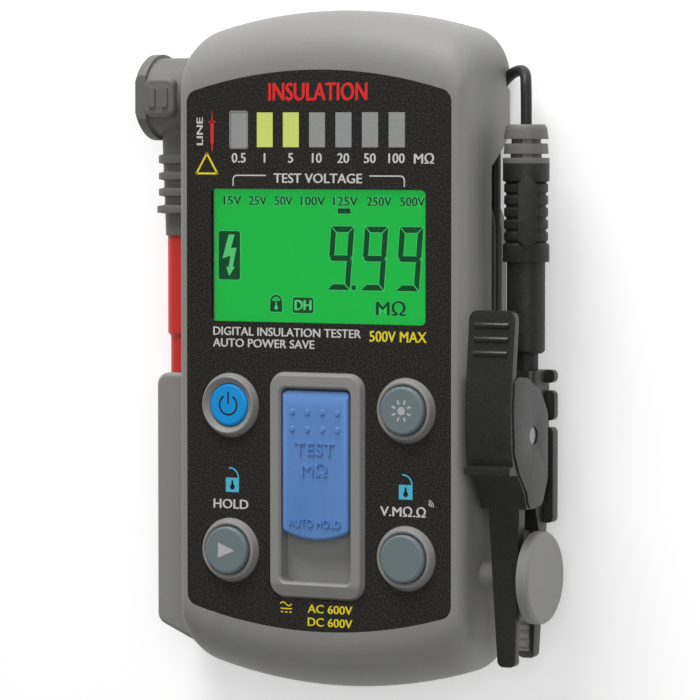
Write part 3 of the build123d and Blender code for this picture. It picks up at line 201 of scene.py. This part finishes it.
def moulded_surface_group():
    """Fine moulded texture, cloudy shade and rubbed patches on one colour."""
    group = new_group(
        "moulded_surface",
        [
            ("Colour", COLOUR, (0.2, 0.2, 0.2, 1)),
            ("Rubbed Colour", COLOUR, (0.3, 0.3, 0.3, 1)),
            ("Grain Scale", FLOAT, 2500.0),
            ("Grain Height", FLOAT, 0.2),
            ("Shade Spread", FLOAT, 0.2),
            ("Speck Amount", FLOAT, 0.0),
            ("Rubbed Amount", FLOAT, 0.2),
            ("Roughness", FLOAT, 0.5),
            ("Roughness Spread", FLOAT, 0.1),
        ],
        [("Colour", COLOUR), ("Roughness", FLOAT), ("Normal", VECTOR)],
    )
    links = group.links
    given = group.nodes.new("NodeGroupInput").outputs
    result = group.nodes.new("NodeGroupOutput").inputs
    where = group.nodes.new("ShaderNodeTexCoord").outputs["Object"]
    grain = put(group, "ShaderNodeTexNoise", Detail=3.0, Roughness=0.6)
    cloud = put(group, "ShaderNodeTexNoise", Scale=55.0, Detail=4.0, Roughness=0.55)
    rub = put(group, "ShaderNodeTexNoise", Scale=140.0, Detail=6.0, Roughness=0.7)
    for noise in (grain, cloud, rub):
        links.new(where, noise.inputs["Vector"])
    links.new(given["Grain Scale"], grain.inputs["Scale"])
    speck = put(group, "ShaderNodeMapRange", From_Min=0.3, From_Max=0.7)
    links.new(grain.outputs["Fac"], speck.inputs["Value"])
    shade = put(group, "ShaderNodeMath", operation="MULTIPLY")
    links.new(speck.outputs["Result"], shade.inputs[0])
    links.new(given["Shade Spread"], shade.inputs[1])
    darker = put(group, "ShaderNodeHueSaturation", Value=0.62)
    links.new(given["Colour"], darker.inputs["Color"])
    toned = blend_node(group, given["Colour"], darker.outputs["Color"], shade.outputs[0])
    pale = put(group, "ShaderNodeMapRange", From_Min=0.47, From_Max=0.62)
    links.new(grain.outputs["Fac"], pale.inputs["Value"])
    speckled = put(group, "ShaderNodeMath", operation="MULTIPLY")
    links.new(pale.outputs["Result"], speckled.inputs[0])
    links.new(given["Speck Amount"], speckled.inputs[1])
    paler = put(group, "ShaderNodeHueSaturation", Value=3.2)
    links.new(given["Colour"], paler.inputs["Color"])
    toned = blend_node(group, toned, paler.outputs["Color"], speckled.outputs[0])
    patch = put(group, "ShaderNodeMapRange", From_Min=0.56, From_Max=0.78)
    links.new(rub.outputs["Fac"], patch.inputs["Value"])
    worn = put(group, "ShaderNodeMath", operation="MULTIPLY")
    links.new(patch.outputs["Result"], worn.inputs[0])
    links.new(given["Rubbed Amount"], worn.inputs[1])
    final = blend_node(group, toned, given["Rubbed Colour"], worn.outputs[0])
    links.new(final, result["Colour"])
    spread = put(group, "ShaderNodeMath", operation="MULTIPLY_ADD")
    links.new(cloud.outputs["Fac"], spread.inputs[0])
    links.new(given["Roughness Spread"], spread.inputs[1])
    links.new(given["Roughness"], spread.inputs[2])
    links.new(spread.outputs[0], result["Roughness"])
    bump = put(group, "ShaderNodeBump", Distance=0.00006)
    links.new(grain.outputs["Fac"], bump.inputs["Height"])
    links.new(given["Grain Height"], bump.inputs["Strength"])
    links.new(bump.outputs["Normal"], result["Normal"])
    return group


def drawn_metal_group():
    """Fine turning lines and a faint tarnish on bright metal."""
    group = new_group(
        "drawn_metal",
        [
            ("Colour", COLOUR, (0.6, 0.6, 0.6, 1)),
            ("Tarnish Colour", COLOUR, (0.3, 0.28, 0.25, 1)),
            ("Tarnish Amount", FLOAT, 0.3),
            ("Line Height", FLOAT, 0.15),
            ("Roughness", FLOAT, 0.25),
        ],
        [("Colour", COLOUR), ("Roughness", FLOAT), ("Normal", VECTOR)],
    )
    links = group.links
    given = group.nodes.new("NodeGroupInput").outputs
    result = group.nodes.new("NodeGroupOutput").inputs
    where = group.nodes.new("ShaderNodeTexCoord").outputs["Object"]
    stretch = put(group, "ShaderNodeMapping")
    stretch.inputs["Scale"].default_value = (1.0, 14.0, 1.0)
    links.new(where, stretch.inputs["Vector"])
    lines = put(group, "ShaderNodeTexNoise", Scale=450.0, Detail=4.0)
    links.new(stretch.outputs["Vector"], lines.inputs["Vector"])
    stain = put(group, "ShaderNodeTexNoise", Scale=300.0, Detail=5.0, Roughness=0.65)
    links.new(where, stain.inputs["Vector"])
    patch = put(group, "ShaderNodeMapRange", From_Min=0.45, From_Max=0.75)
    links.new(stain.outputs["Fac"], patch.inputs["Value"])
    amount = put(group, "ShaderNodeMath", operation="MULTIPLY")
    links.new(patch.outputs["Result"], amount.inputs[0])
    links.new(given["Tarnish Amount"], amount.inputs[1])
    dulled = blend_node(group, given["Colour"], given["Tarnish Colour"], amount.outputs[0])
    links.new(dulled, result["Colour"])
    rough = put(group, "ShaderNodeMath", operation="MULTIPLY_ADD")
    rough.inputs[1].default_value = 0.2
    links.new(lines.outputs["Fac"], rough.inputs[0])
    links.new(given["Roughness"], rough.inputs[2])
    links.new(rough.outputs[0], result["Roughness"])
    bump = put(group, "ShaderNodeBump", Distance=0.00003)
    links.new(lines.outputs["Fac"], bump.inputs["Height"])
    links.new(given["Line Height"], bump.inputs["Strength"])
    links.new(bump.outputs["Normal"], result["Normal"])
    return group


moulded_surface = moulded_surface_group()
drawn_metal = drawn_metal_group()


def new_material(name):
    """A material with its node tree and its main shader."""
    material = bpy.data.materials.new(name)
    material.use_nodes = True
    return material, material.node_tree, material.node_tree.nodes["Principled BSDF"]


def place_group(tree, group, shader, values):
    """Put an effect in a material and lead its outputs to the shader."""
    effect = tree.nodes.new("ShaderNodeGroup")
    effect.node_tree = group
    for name, value in values.items():
        effect.inputs[name].default_value = value
    tree.links.new(effect.outputs["Colour"], shader.inputs["Base Color"])
    tree.links.new(effect.outputs["Roughness"], shader.inputs["Roughness"])
    tree.links.new(effect.outputs["Normal"], shader.inputs["Normal"])
    return effect


def lighter(colour, by):
    """A paler tone of a colour."""
    return tuple(channel + (1 - channel) * by for channel in colour[:3]) + (1,)


def moulded(name, colour, grain=2500.0, height=0.2, spread=0.25, rubbed=0.15, rough=0.5,
            rough_spread=0.12, specular=0.4, coat=0.0, glow=0.0, speck=0.0):
    """A moulded or printed plastic finish."""
    material, tree, shader = new_material(name)
    effect = place_group(tree, moulded_surface, shader, {
        "Colour": (*colour, 1),
        "Rubbed Colour": lighter(colour, 0.12),
        "Grain Scale": grain,
        "Grain Height": height,
        "Shade Spread": spread,
        "Speck Amount": speck,
        "Rubbed Amount": rubbed,
        "Roughness": rough,
        "Roughness Spread": rough_spread,
    })
    shader.inputs["Specular IOR Level"].default_value = specular
    shader.inputs["Coat Weight"].default_value = coat
    shader.inputs["Coat Roughness"].default_value = 0.12
    if glow:
        tree.links.new(effect.outputs["Colour"], shader.inputs["Emission Color"])
        shader.inputs["Emission Strength"].default_value = glow
    return material


def metal(name, colour, tarnish=0.3, rough=0.25):
    """A bright metal finish."""
    material, tree, shader = new_material(name)
    place_group(tree, drawn_metal, shader, {
        "Colour": (*colour, 1),
        "Tarnish Amount": tarnish,
        "Roughness": rough,
    })
    shader.inputs["Metallic"].default_value = 1.0
    return material


def clear(name, tint, rough=0.04):
    """A clear window or tube with a faint haze over it."""
    material, tree, shader = new_material(name)
    where = tree.nodes.new("ShaderNodeTexCoord").outputs["Object"]
    haze = put(tree, "ShaderNodeTexNoise", Scale=90.0, Detail=5.0)
    tree.links.new(where, haze.inputs["Vector"])
    spread = put(tree, "ShaderNodeMapRange", To_Min=rough, To_Max=rough + 0.05)
    tree.links.new(haze.outputs["Fac"], spread.inputs["Value"])
    tree.links.new(spread.outputs["Result"], shader.inputs["Roughness"])
    shader.inputs["Base Color"].default_value = (*tint, 1)
    shader.inputs["Transmission Weight"].default_value = 1.0
    shader.inputs["IOR"].default_value = 1.3
    return material


finishes = {
    "case_grey": moulded(
        "case_grey", (0.285, 0.282, 0.272), 2100, 0.3, 0.3, 0.15, 0.46, specular=0.3, speck=0.05
    ),
    "panel_black": moulded(
        "panel_black", (0.0150, 0.0136, 0.0112), 2300, 0.6, 0.9, 0.05, 0.45, 0.1,
        specular=0.25, speck=1.0,
    ),
    "clear_plastic": clear("clear_plastic", (0.97, 1.0, 0.97)),
    "lcd_green": moulded(
        "lcd_green", (0.006, 0.315, 0.042), 60, 0.0, 0.06, 0.0, 0.5, specular=0.1, glow=0.95
    ),
    "backlight_green": moulded(
        "backlight_green", (0.30, 0.75, 0.15), 800, 0.1, 0.1, 0.0, 0.4, glow=0.6
    ),
    "white_plastic": moulded("white_plastic", (0.72, 0.72, 0.69), 1800, 0.15, 0.1),
    "bar_grey": moulded("bar_grey", (0.36, 0.37, 0.37), 1500, 0.15, 0.35, 0.05, 0.4),
    "bar_lit": moulded("bar_lit", (0.44, 0.51, 0.12), 1500, 0.1, 0.15, 0.0, 0.4, glow=0.5),
    "button_grey": moulded("button_grey", (0.175, 0.222, 0.236), 2100, 0.2, 0.25, 0.1, 0.42),
    "button_blue": moulded("button_blue", (0.003, 0.33, 0.80), 2100, 0.15, 0.15, 0.1, 0.38),
    "slider_blue": moulded("slider_blue", (0.128, 0.285, 0.65), 2100, 0.2, 0.2, 0.1, 0.42),
    "board_green": moulded(
        "board_green", (0.015, 0.12, 0.045), 900, 0.3, 0.5, 0.3, 0.3, coat=0.4
    ),
    "component_black": moulded("component_black", (0.02, 0.02, 0.021), 3000, 0.2, 0.3),
    "transformer_yellow": moulded("transformer_yellow", (0.6, 0.42, 0.04), 700, 0.2, 0.3),
    "fuse_glass": clear("fuse_glass", (0.95, 0.98, 0.98)),
    "nickel": metal("nickel", (0.66, 0.64, 0.60), 0.25, 0.22),
    "spring_steel": metal("spring_steel", (0.50, 0.50, 0.51), 0.35, 0.30),
    "brass": metal("brass", (0.72, 0.50, 0.20), 0.35, 0.25),
    "screw_steel": metal("screw_steel", (0.36, 0.36, 0.37), 0.4, 0.35),
    "cell_wrap": moulded("cell_wrap", (0.03, 0.12, 0.05), 1200, 0.05, 0.1, 0.2, 0.2, coat=0.5),
    "rubber_black": moulded("rubber_black", (0.014, 0.014, 0.015), 2200, 0.3, 0.3, 0.25, 0.6),
    "probe_grey": moulded("probe_grey", (0.168, 0.166, 0.157), 2100, 0.3, 0.3, 0.15, 0.5),
    "probe_red": moulded("probe_red", (0.72, 0.035, 0.028), 2100, 0.15, 0.15, 0.1, 0.35),
    "probe_black": moulded("probe_black", (0.016, 0.0158, 0.0145), 2100, 0.3, 0.4, 0.2, 0.46,
                           specular=0.35, speck=0.3),
    "clip_black": moulded("clip_black", (0.0135, 0.0132, 0.012), 2100, 0.5, 0.4, 0.2, 0.33,
                          specular=0.55, speck=0.35),
    "lead_black": moulded("lead_black", (0.016, 0.016, 0.017), 1600, 0.2, 0.3, 0.25, 0.42),
}
print_finishes = {
    "white": moulded("print_white", (0.70, 0.70, 0.68), 1500, 0.2, 0.3, 0.0, 0.45),
    "sign_white": moulded("print_sign_white", (0.52, 0.54, 0.54), 1500, 0.2, 0.3, 0.0, 0.45),
    "yellow": moulded("print_yellow", (0.92, 0.76, 0.035), 1500, 0.2, 0.3, 0.0, 0.45),
    "red": moulded("print_red", (0.88, 0.025, 0.025), 1500, 0.2, 0.3, 0.0, 0.45),
    "cyan": moulded("print_cyan", (0.09, 0.55, 0.74), 1500, 0.2, 0.3, 0.0, 0.45),
    "black": moulded("print_black", (0.012, 0.012, 0.013), 1500, 0.2, 0.25, 0.0, 0.45),
    "pale_green": moulded(
        "print_pale_green", (0.10, 0.62, 0.20), 60, 0.0, 0.05, 0.0, 0.5, specular=0.1, glow=0.35
    ),
    "segment": moulded(
        "print_segment", (0.0, 0.075, 0.022), 60, 0.0, 0.05, 0.0, 0.5, specular=0.1, glow=0.3
    ),
}

for part in frame["record"]["subparts"]:
    node = nodes[part["node"]]
    node.data.materials.clear()
    node.data.materials.append(finishes[part["material_slot"]])
lead.data.materials.append(finishes["lead_black"])


# ---- Moulded pieces with smooth rolls and softened edges ----
def soften(node, edge, sharp_over=32.0):
    """A closed, smooth copy of a piece, its sharp edges rounded by a small width."""
    mesh = bmesh.new()
    mesh.from_mesh(nodes[node].data)
    bmesh.ops.remove_doubles(mesh, verts=mesh.verts, dist=1e-7)
    bmesh.ops.dissolve_limit(
        mesh, angle_limit=radians(0.5), verts=mesh.verts, edges=mesh.edges
    )
    limit = radians(sharp_over)
    if edge:
        sharp = [e for e in mesh.edges if e.is_manifold and e.calc_face_angle() > limit]
        bmesh.ops.bevel(
            mesh, geom=sharp, offset=edge * MM, segments=2, profile=0.6,
            affect="EDGES", clamp_overlap=True,
        )
    bmesh.ops.triangulate(mesh, faces=[f for f in mesh.faces if len(f.verts) > 4])
    for face in mesh.faces:
        face.smooth = True
    for line in mesh.edges:
        line.smooth = line.is_manifold and line.calc_face_angle() < limit
    data = bpy.data.meshes.new(node + "_shell")
    mesh.to_mesh(data)
    mesh.free()
    shell = bpy.data.objects.new(node + "_shell", data)
    scene.collection.objects.link(shell)
    part = next(p for p in frame["record"]["subparts"] if p["node"] == node)
    data.materials.append(finishes[part["material_slot"]])
    body = next(
        name for name, listed in frame["record"]["behaviour"]["bodies"].items() if node in listed
    )
    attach(shell, body)
    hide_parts(node)


for node, edge in (
    ("front_cover", 0.0), ("rear_cover", 0.0), ("clip_lever", 0.25), ("clip_base", 0.2),
    ("probe_head", 0.25), ("probe_sleeve", 0.15), ("earth_boot", 0.12), ("earth_grip", 0.12),
    ("test_slider", 0.0), ("clip_post", 0.0),
):
    soften(node, edge)


# ---- Print and lettering ----
class Print:
    """One colour of print: flat shapes and words gathered into one thin piece."""

    def __init__(self, name, face, thickness=ink, shift=(0.0, 0.0)):
        self.name, self.face, self.thickness = name, face, thickness
        self.shift = shift
        self.mesh = bmesh.new()

    def shape(self, points):
        """A flat shape with straight sides, points in millimetres."""
        low = [self.mesh.verts.new((x * MM, y * MM, self.face)) for x, y in points]
        high = [self.mesh.verts.new((*v.co.xy, self.face + self.thickness)) for v in low]
        self.mesh.faces.new(low[::-1])
        self.mesh.faces.new(high)
        for k in range(len(low)):
            after = (k + 1) % len(low)
            self.mesh.faces.new((low[k], low[after], high[after], high[k]))

    def bar(self, start, end, width):
        """A straight stroke between two points."""
        start, end = Vector(start), Vector(end)
        across = (end - start).normalized().orthogonal() * width / 2
        self.shape([start - across, end - across, end + across, start + across][::-1])

    def ring(self, middle, radius, width, first=0.0, last=360.0, steps=36):
        """A ring or an arc stroke, its angles in degrees from +X."""
        angles = [radians(first + (last - first) * k / steps) for k in range(steps + 1)]
        for a, b in zip(angles, angles[1:]):
            inner, outer = radius - width / 2, radius + width / 2
            self.shape([
                (middle[0] + r * cos(t), middle[1] + r * sin(t))
                for r, t in ((inner, a), (outer, a), (outer, b), (inner, b))
            ])

    def disc(self, middle, radius, steps=28):
        """A filled disc."""
        turn = [2 * pi * k / steps for k in range(steps)]
        self.shape([(middle[0] + radius * cos(t), middle[1] + radius * sin(t)) for t in turn])

    def block(self, low, high, corner=0.0, steps=5):
        """A filled rectangle with rounded corners."""
        corner = max(corner, 0.01)
        points = []
        for cx, cy, first in (
            (high[0] - corner, high[1] - corner, 0),
            (low[0] + corner, high[1] - corner, 90),
            (low[0] + corner, low[1] + corner, 180),
            (high[0] - corner, low[1] + corner, 270),
        ):
            for k in range(steps + 1):
                t = radians(first + 90 * k / steps)
                points.append((cx + corner * cos(t), cy + corner * sin(t)))
        self.shape(points)

    def words(self, text, middle, height, width=None, bold=0.03, swell=0.0, turn=0.0):
        """A line of capitals of a given height, fitted to a width if one is given."""
        letters = bpy.data.curves.new("letters", "FONT")
        letters.body = text
        letters.size = height / 0.73
        letters.offset = swell
        letters.extrude = 0.5
        letters.resolution_u = 3
        holder = bpy.data.objects.new("letters", letters)
        mesh = bpy.data.meshes.new_from_object(holder)
        xs = [v.co.x for v in mesh.vertices]
        ys = [v.co.y for v in mesh.vertices]
        span = max(xs) - min(xs)
        squeeze = 1.0 if width is None else width / span
        centre = Matrix.Translation((-(max(xs) + min(xs)) / 2, -(max(ys) + min(ys)) / 2, 0))
        place = Matrix.Translation((middle[0] * MM, middle[1] * MM, self.face + self.thickness / 2))
        scale = Matrix.Diagonal((squeeze * MM, MM, self.thickness, 1))
        spin = Matrix.Rotation(radians(turn), 4, "Z")
        for side, depth in ((-1, 1.0), (1, 1.3)) if bold else ((0, 1.0),):
            step = side * bold * height
            thicker = Matrix.Translation((step, 0.4 * step, 0))
            deeper = Matrix.Diagonal((1, 1, depth, 1))
            stroke = mesh.copy()
            stroke.transform(place @ spin @ scale @ deeper @ thicker @ centre)
            self.mesh.from_mesh(stroke)
            bpy.data.meshes.remove(stroke)
        bpy.data.meshes.remove(mesh)
        bpy.data.objects.remove(holder)
        bpy.data.curves.remove(letters)

    def finish(self, material, body):
        """Turn what was drawn into a piece on its body."""
        data = bpy.data.meshes.new(self.name)
        bmesh.ops.translate(self.mesh, vec=mm(*self.shift, 0), verts=self.mesh.verts)
        bmesh.ops.recalc_face_normals(self.mesh, faces=self.mesh.faces)
        self.mesh.to_mesh(data)
        self.mesh.free()
        piece = bpy.data.objects.new(self.name, data)
        data.materials.append(material)
        scene.collection.objects.link(piece)
        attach(piece, body)
        return piece


# Places and letter heights on the panel, in millimetres
bar_pitch = 6.87
button_x = 23.0
lock_places = (-22.4, 23.0)
scale_y, scale_height = 45.0, 2.35
bracket_y, bracket_corner, bracket_line = 40.9, 1.0, 0.3
title_height, name_height = 2.05, 2.3
name_y = -36.4
rating_x, rating_height, rating_width = 3.4, 2.05, 11.6
rim_gap, rim_line = 0.2, 0.4
display_shift = (-1.0, 0.4)
# Width of the painted halo, the pale glowing edge drawn round each display mark
painted_halo_swell = 0.13


def white_panel_print():
    """Scale of the light bars, the voltage bracket, the title and the button names."""
    ink_white = Print("panel_print_white", panel_face)
    for k, label in enumerate(("0.5", "1", "5", "10", "20", "50", "100")):
        ink_white.words(label, ((k - 3) * bar_pitch, scale_y), scale_height)
    ink_white.words("MΩ", (27.6, scale_y), scale_height, 5.0)
    ink_white.words("TEST VOLTAGE", (0.2, 40.3), name_height, 23.0)
    for side, near, far in ((-1, 13.4, 22.1), (1, 13.6, 22.6)):
        bend = side * (far - bracket_corner)
        shoulder = bracket_y - bracket_corner
        ink_white.bar((side * near, bracket_y), (bend, bracket_y), bracket_line)
        first = 90 if side < 0 else 0
        ink_white.ring((bend, shoulder), bracket_corner, bracket_line, first, first + 90, 6)
        ink_white.bar((side * far, shoulder), (side * far, 38.4), bracket_line)
    ink_white.words("DIGITAL INSULATION TESTER", (-8.0, 4.35), title_height, 38.8)
    ink_white.words("AUTO POWER SAVE", (-14.1, 1.6), title_height, 26.8)
    ink_white.words("HOLD", (-button_x + 0.2, name_y), name_height, 9.2)
    ink_white.words("V.MΩ.Ω", (22.3, name_y), name_height, 11.6)
    for k in range(3):
        ink_white.ring((28.7, -34.9), 0.5 + 0.45 * k, 0.2, -10, 80, 5)
    ink_white.words("LINE", (-31.0, 51.2), 1.75, 6.4, turn=90)
    ink_white.finish(print_finishes["white"], "case")


def first_bar_rim():
    """The pale rim round the lowest light bar."""
    rim = Print("light_bar_rim", panel_face)
    low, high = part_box("led_bar_1")
    left, right = low.x / MM - rim_gap, high.x / MM + rim_gap
    foot, top = low.y / MM - rim_gap, high.y / MM + rim_gap
    for start, end in (
        ((left, foot), (right, foot)), ((right, foot), (right, top)),
        ((right, top), (left, top)), ((left, top), (left, foot)),
    ):
        rim.bar(start, end, rim_line)
    rim.finish(finishes["case_grey"], "case")


def colour_panel_print():
    """The red, yellow and blue marks of the panel."""
    red = Print("panel_print_red", panel_face)
    red.words("INSULATION", (0.2, 60.4), 4.3, 25.6, bold=0.04)
    red.block((-28.1, 48.2), (-27.3, 53.5), 0.3)
    red.shape([(-27.9, 53.4), (-27.5, 53.4), (-27.7, 56.4)])
    red.bar((-27.7, 48.3), (-27.7, 46.6), 0.35)
    red.bar((-28.6, 53.4), (-26.8, 53.4), 0.35)
    red.finish(print_finishes["red"], "case")
    yellow = Print("panel_print_yellow", panel_face)
    yellow.words("500V MAX", (21.0, 3.9), 2.6, 14.6)
    for y, rating in ((-60.1, "AC 600V"), (-63.2, "DC 600V")):
        yellow.words(rating, (rating_x, y), rating_height, rating_width)
    yellow.bar((-9.6, -60.4), (-6.6, -60.4), 0.3)
    for k in range(3):
        yellow.bar((-9.5 + 1.1 * k, -61.2), (-8.9 + 1.1 * k, -61.2), 0.3)
    wave = [(-9.7 + 0.2 * k, -59.3 + 0.42 * sin(2 * pi * k / 15)) for k in range(16)]
    for start, end in zip(wave, wave[1:]):
        yellow.bar(start, end, 0.3)
    corners = [(-31.9, 41.3), (-26.3, 41.3), (-29.1, 46.0)]
    for k in range(3):
        yellow.bar(corners[k], corners[(k + 1) % 3], 0.45)
        yellow.disc(corners[k], 0.225, 10)
    yellow.finish(print_finishes["yellow"], "case")
    cyan = Print("panel_print_cyan", panel_face)
    for x in lock_places:
        cyan.block((x - 1.75, -33.6), (x + 1.75, -30.2), 0.15)
        cyan.ring((x - 0.7, -30.2), 2.3, 0.35, 0, 95, 10)
    cyan.finish(print_finishes["cyan"], "case")
    black = Print("panel_print_black", panel_face + ink)
    for x in lock_places:
        black.disc((x, -32.4), 0.62, 14)
        black.shape([(x - 0.35, -32.2), (x + 0.35, -32.2), (x + 0.22, -30.8), (x - 0.22, -30.8)])
    black.finish(print_finishes["black"], "case")


def digit_nine(segments, left, foot, swell, lean=0.08):
    """The seven-segment figure nine, leaning a little, with gaps between its segments."""
    left, foot = left - swell, foot - swell
    wide, high, stroke = 6.0 + 2 * swell, 14.8 + 2 * swell, 1.35 + 2 * swell
    gap = 0.17 - swell
    half = high / 2

    def put_segment(points):
        segments.shape([(left + x + lean * y, foot + y) for x, y in points])

    def level(y, way):
        """A level segment, its ends cut at a slant; way is -1 at the foot, 1 at the top."""
        if way:
            put_segment([
                (gap, y), (wide - gap, y),
                (wide - gap - stroke, y - way * stroke), (gap + stroke, y - way * stroke),
            ][:: -way])
        else:
            h = stroke / 2
            put_segment([
                (gap + h, y - h), (wide - gap - h, y - h), (wide - gap, y),
                (wide - gap - h, y + h), (gap + h, y + h), (gap, y),
            ])

    def upright(side, low, high_y):
        """An upright segment on the left or right side between two levels."""
        outer = 0 if side < 0 else wide
        inner = outer - side * stroke
        top_cut = stroke if high_y == high else stroke / 2
        foot_cut = stroke if low == 0 else stroke / 2
        points = [
            (outer, low + gap), (outer, high_y - gap),
            (inner, high_y - gap - top_cut), (inner, low + gap + foot_cut),
        ]
        put_segment(points if side < 0 else points[::-1])

    level(high, 1)
    level(half, 0)
    level(0, -1)
    upright(-1, half, high)
    upright(1, half, high)
    upright(1, 0, half)


def display_print():
    """What the display shows while it measures, each mark with a painted halo: a pale glowing edge
    round it.
    """
    # The pale green edges are painted light: a glowing halo round each mark that stands in for the
    # light and shade from the depth between the marks and the backlit layer.
    glow = Print("display_mark_painted_halo", glass_face + film_gap, shift=display_shift)
    dark = Print("display_segments", glass_face + film_gap + ink, shift=display_shift)
    for drawn, swell in ((glow, painted_halo_swell), (dark, 0.0)):
        for x, label in (
            (-22.2, "15V"), (-15.5, "25V"), (-8.6, "50V"), (-0.9, "100V"),
            (7.6, "125V"), (16.3, "250V"), (24.9, "500V"),
        ):
            drawn.words(label, (x, 34.6), 2.15, 1.6 * len(label) - 0.2, 0.02, swell)
        drawn.block((5.6 - swell, 31.7 - swell), (8.9 + swell, 32.95 + swell), 0.05)
        for left in (2.7, 11.5, 20.5):
            digit_nine(drawn, left, 14.0, swell)
        drawn.disc((9.75, 14.6), 0.62 + swell)
        drawn.words("MΩ", (19.3, 10.0), 3.3, 7.4, 0.03, swell / 2)
        drawn.block((-25.9 - swell, 15.95 - swell), (-20.2 + swell, 27.4 + swell), 0.5)
        drawn.block((-6.2 - swell, 8.45 - swell), (-0.8 + swell, 12.1 + swell), 0.5)
        drawn.block((-12.2 - swell, 8.6 - swell), (-9.0 + swell, 11.2 + swell), 0.1)
        drawn.ring((-10.6, 11.0), 1.35, 0.45 + 2 * swell, 10, 170, 12)
    glow.finish(print_finishes["pale_green"], "case")
    dark.finish(print_finishes["segment"], "case")
    pale = Print("display_light_marks", glass_face + film_gap + 2 * ink, shift=display_shift)
    pale.words("DH", (-3.5, 10.3), 2.5, 4.2, bold=0.07)
    pale.disc((-10.6, 9.6), 0.5, 12)
    pale.bar((-10.6, 9.7), (-10.6, 11.0), 0.3)
    bolt = [
        (-23.2, 26.6), (-21.6, 26.6), (-22.6, 23.4), (-21.1, 23.5), (-22.1, 19.0),
        (-21.5, 19.0), (-23.1, 16.8), (-23.9, 19.0), (-23.2, 19.0), (-22.7, 21.6),
        (-24.9, 20.9),
    ]
    pale.shape(bolt[::-1])
    pale.finish(print_finishes["pale_green"], "case")


def button_marks():
    """The sign on each button that has one."""
    faces = {name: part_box(name) for name in ("power_button", "backlight_button", "hold_button")}
    middles = {
        name: ((low.x + high.x) / 2 / MM, (low.y + high.y) / 2 / MM)
        for name, (low, high) in faces.items()
    }
    x, y = middles["power_button"]
    power = Print("power_sign", faces["power_button"][1].z)
    power.ring((x, y), 2.3, 0.42, 120, 420, 30)
    power.bar((x, y + 0.2), (x, y + 3.1), 0.42)
    power.finish(print_finishes["black"], "power_button")
    x, y = middles["backlight_button"]
    sun = Print("backlight_sign", faces["backlight_button"][1].z)
    sun.disc((x, y), 0.95)
    for k in range(8):
        t = radians(22.5 + 45 * k)
        ray = Vector((cos(t), sin(t)))
        sun.bar(Vector((x, y)) + ray * 1.6, Vector((x, y)) + ray * 2.6, 0.5)
    sun.finish(print_finishes["sign_white"], "backlight_button")
    x, y = middles["hold_button"]
    arrow = Print("hold_sign", faces["hold_button"][1].z)
    arrow.shape([(x - 2.0, y - 1.8), (x + 2.4, y), (x - 2.0, y + 1.8)])
    arrow.finish(print_finishes["sign_white"], "hold_button")


def slider_lettering():
    """Raised words on the slider."""
    letters = Print("slider_lettering", slider_face - letter_root, raised)
    letters.words("TEST", (0.0, -22.6), 3.1, 10.4, bold=0.0)
    letters.words("MΩ", (0.0, -27.3), 3.1, 6.6, bold=0.0)
    letters.words("AUTO HOLD", (0.0, -39.9), 2.1, 13.6, bold=0.0)
    letters.finish(finishes["slider_blue"], "test_slider")


white_panel_print()
first_bar_rim()
colour_panel_print()
display_print()
button_marks()
slider_lettering()


# ---- Floor and light ----
def lay_floor():
    """A plain pale floor, well past the edge of the view."""
    mesh = bpy.data.meshes.new("floor")
    reach, height = 4.0, -0.3 * MM
    corners = [(-1, -1), (1, -1), (1, 1), (-1, 1)]
    mesh.from_pydata([(x * reach, y * reach, height) for x, y in corners], [], [(0, 1, 2, 3)])
    floor = bpy.data.objects.new("floor", mesh)
    floor.data.materials.append(
        moulded("floor_white", (0.86, 0.86, 0.86), 40, 0.0, 0.02, 0.0, 0.7, glow=0.46)
    )
    scene.collection.objects.link(floor)


def lamp(name, place, target, size, power):
    """A soft square lamp, its place and target in metres."""
    data = bpy.data.lights.new(name, "AREA")
    data.size = size
    data.energy = power
    holder = bpy.data.objects.new(name, data)
    scene.collection.objects.link(holder)
    aim(holder, Vector(place), Vector(target), Vector((0, 1, 0)))


lay_floor()
lamp("key_lamp", (-0.25, 1.5, 0.6), (0, 0, 0), 0.8, 24.0)
lamp("fill_lamp", (0.7, 0.3, 1.3), (0, 0, 0), 0.8, 5.0)
world = bpy.data.worlds.new("studio")
scene.world = world
world.use_nodes = True
world.node_tree.nodes["Background"].inputs["Color"].default_value = (1, 1, 1, 1)
world.node_tree.nodes["Background"].inputs["Strength"].default_value = 0.27
scene.view_settings.view_transform = "Standard"
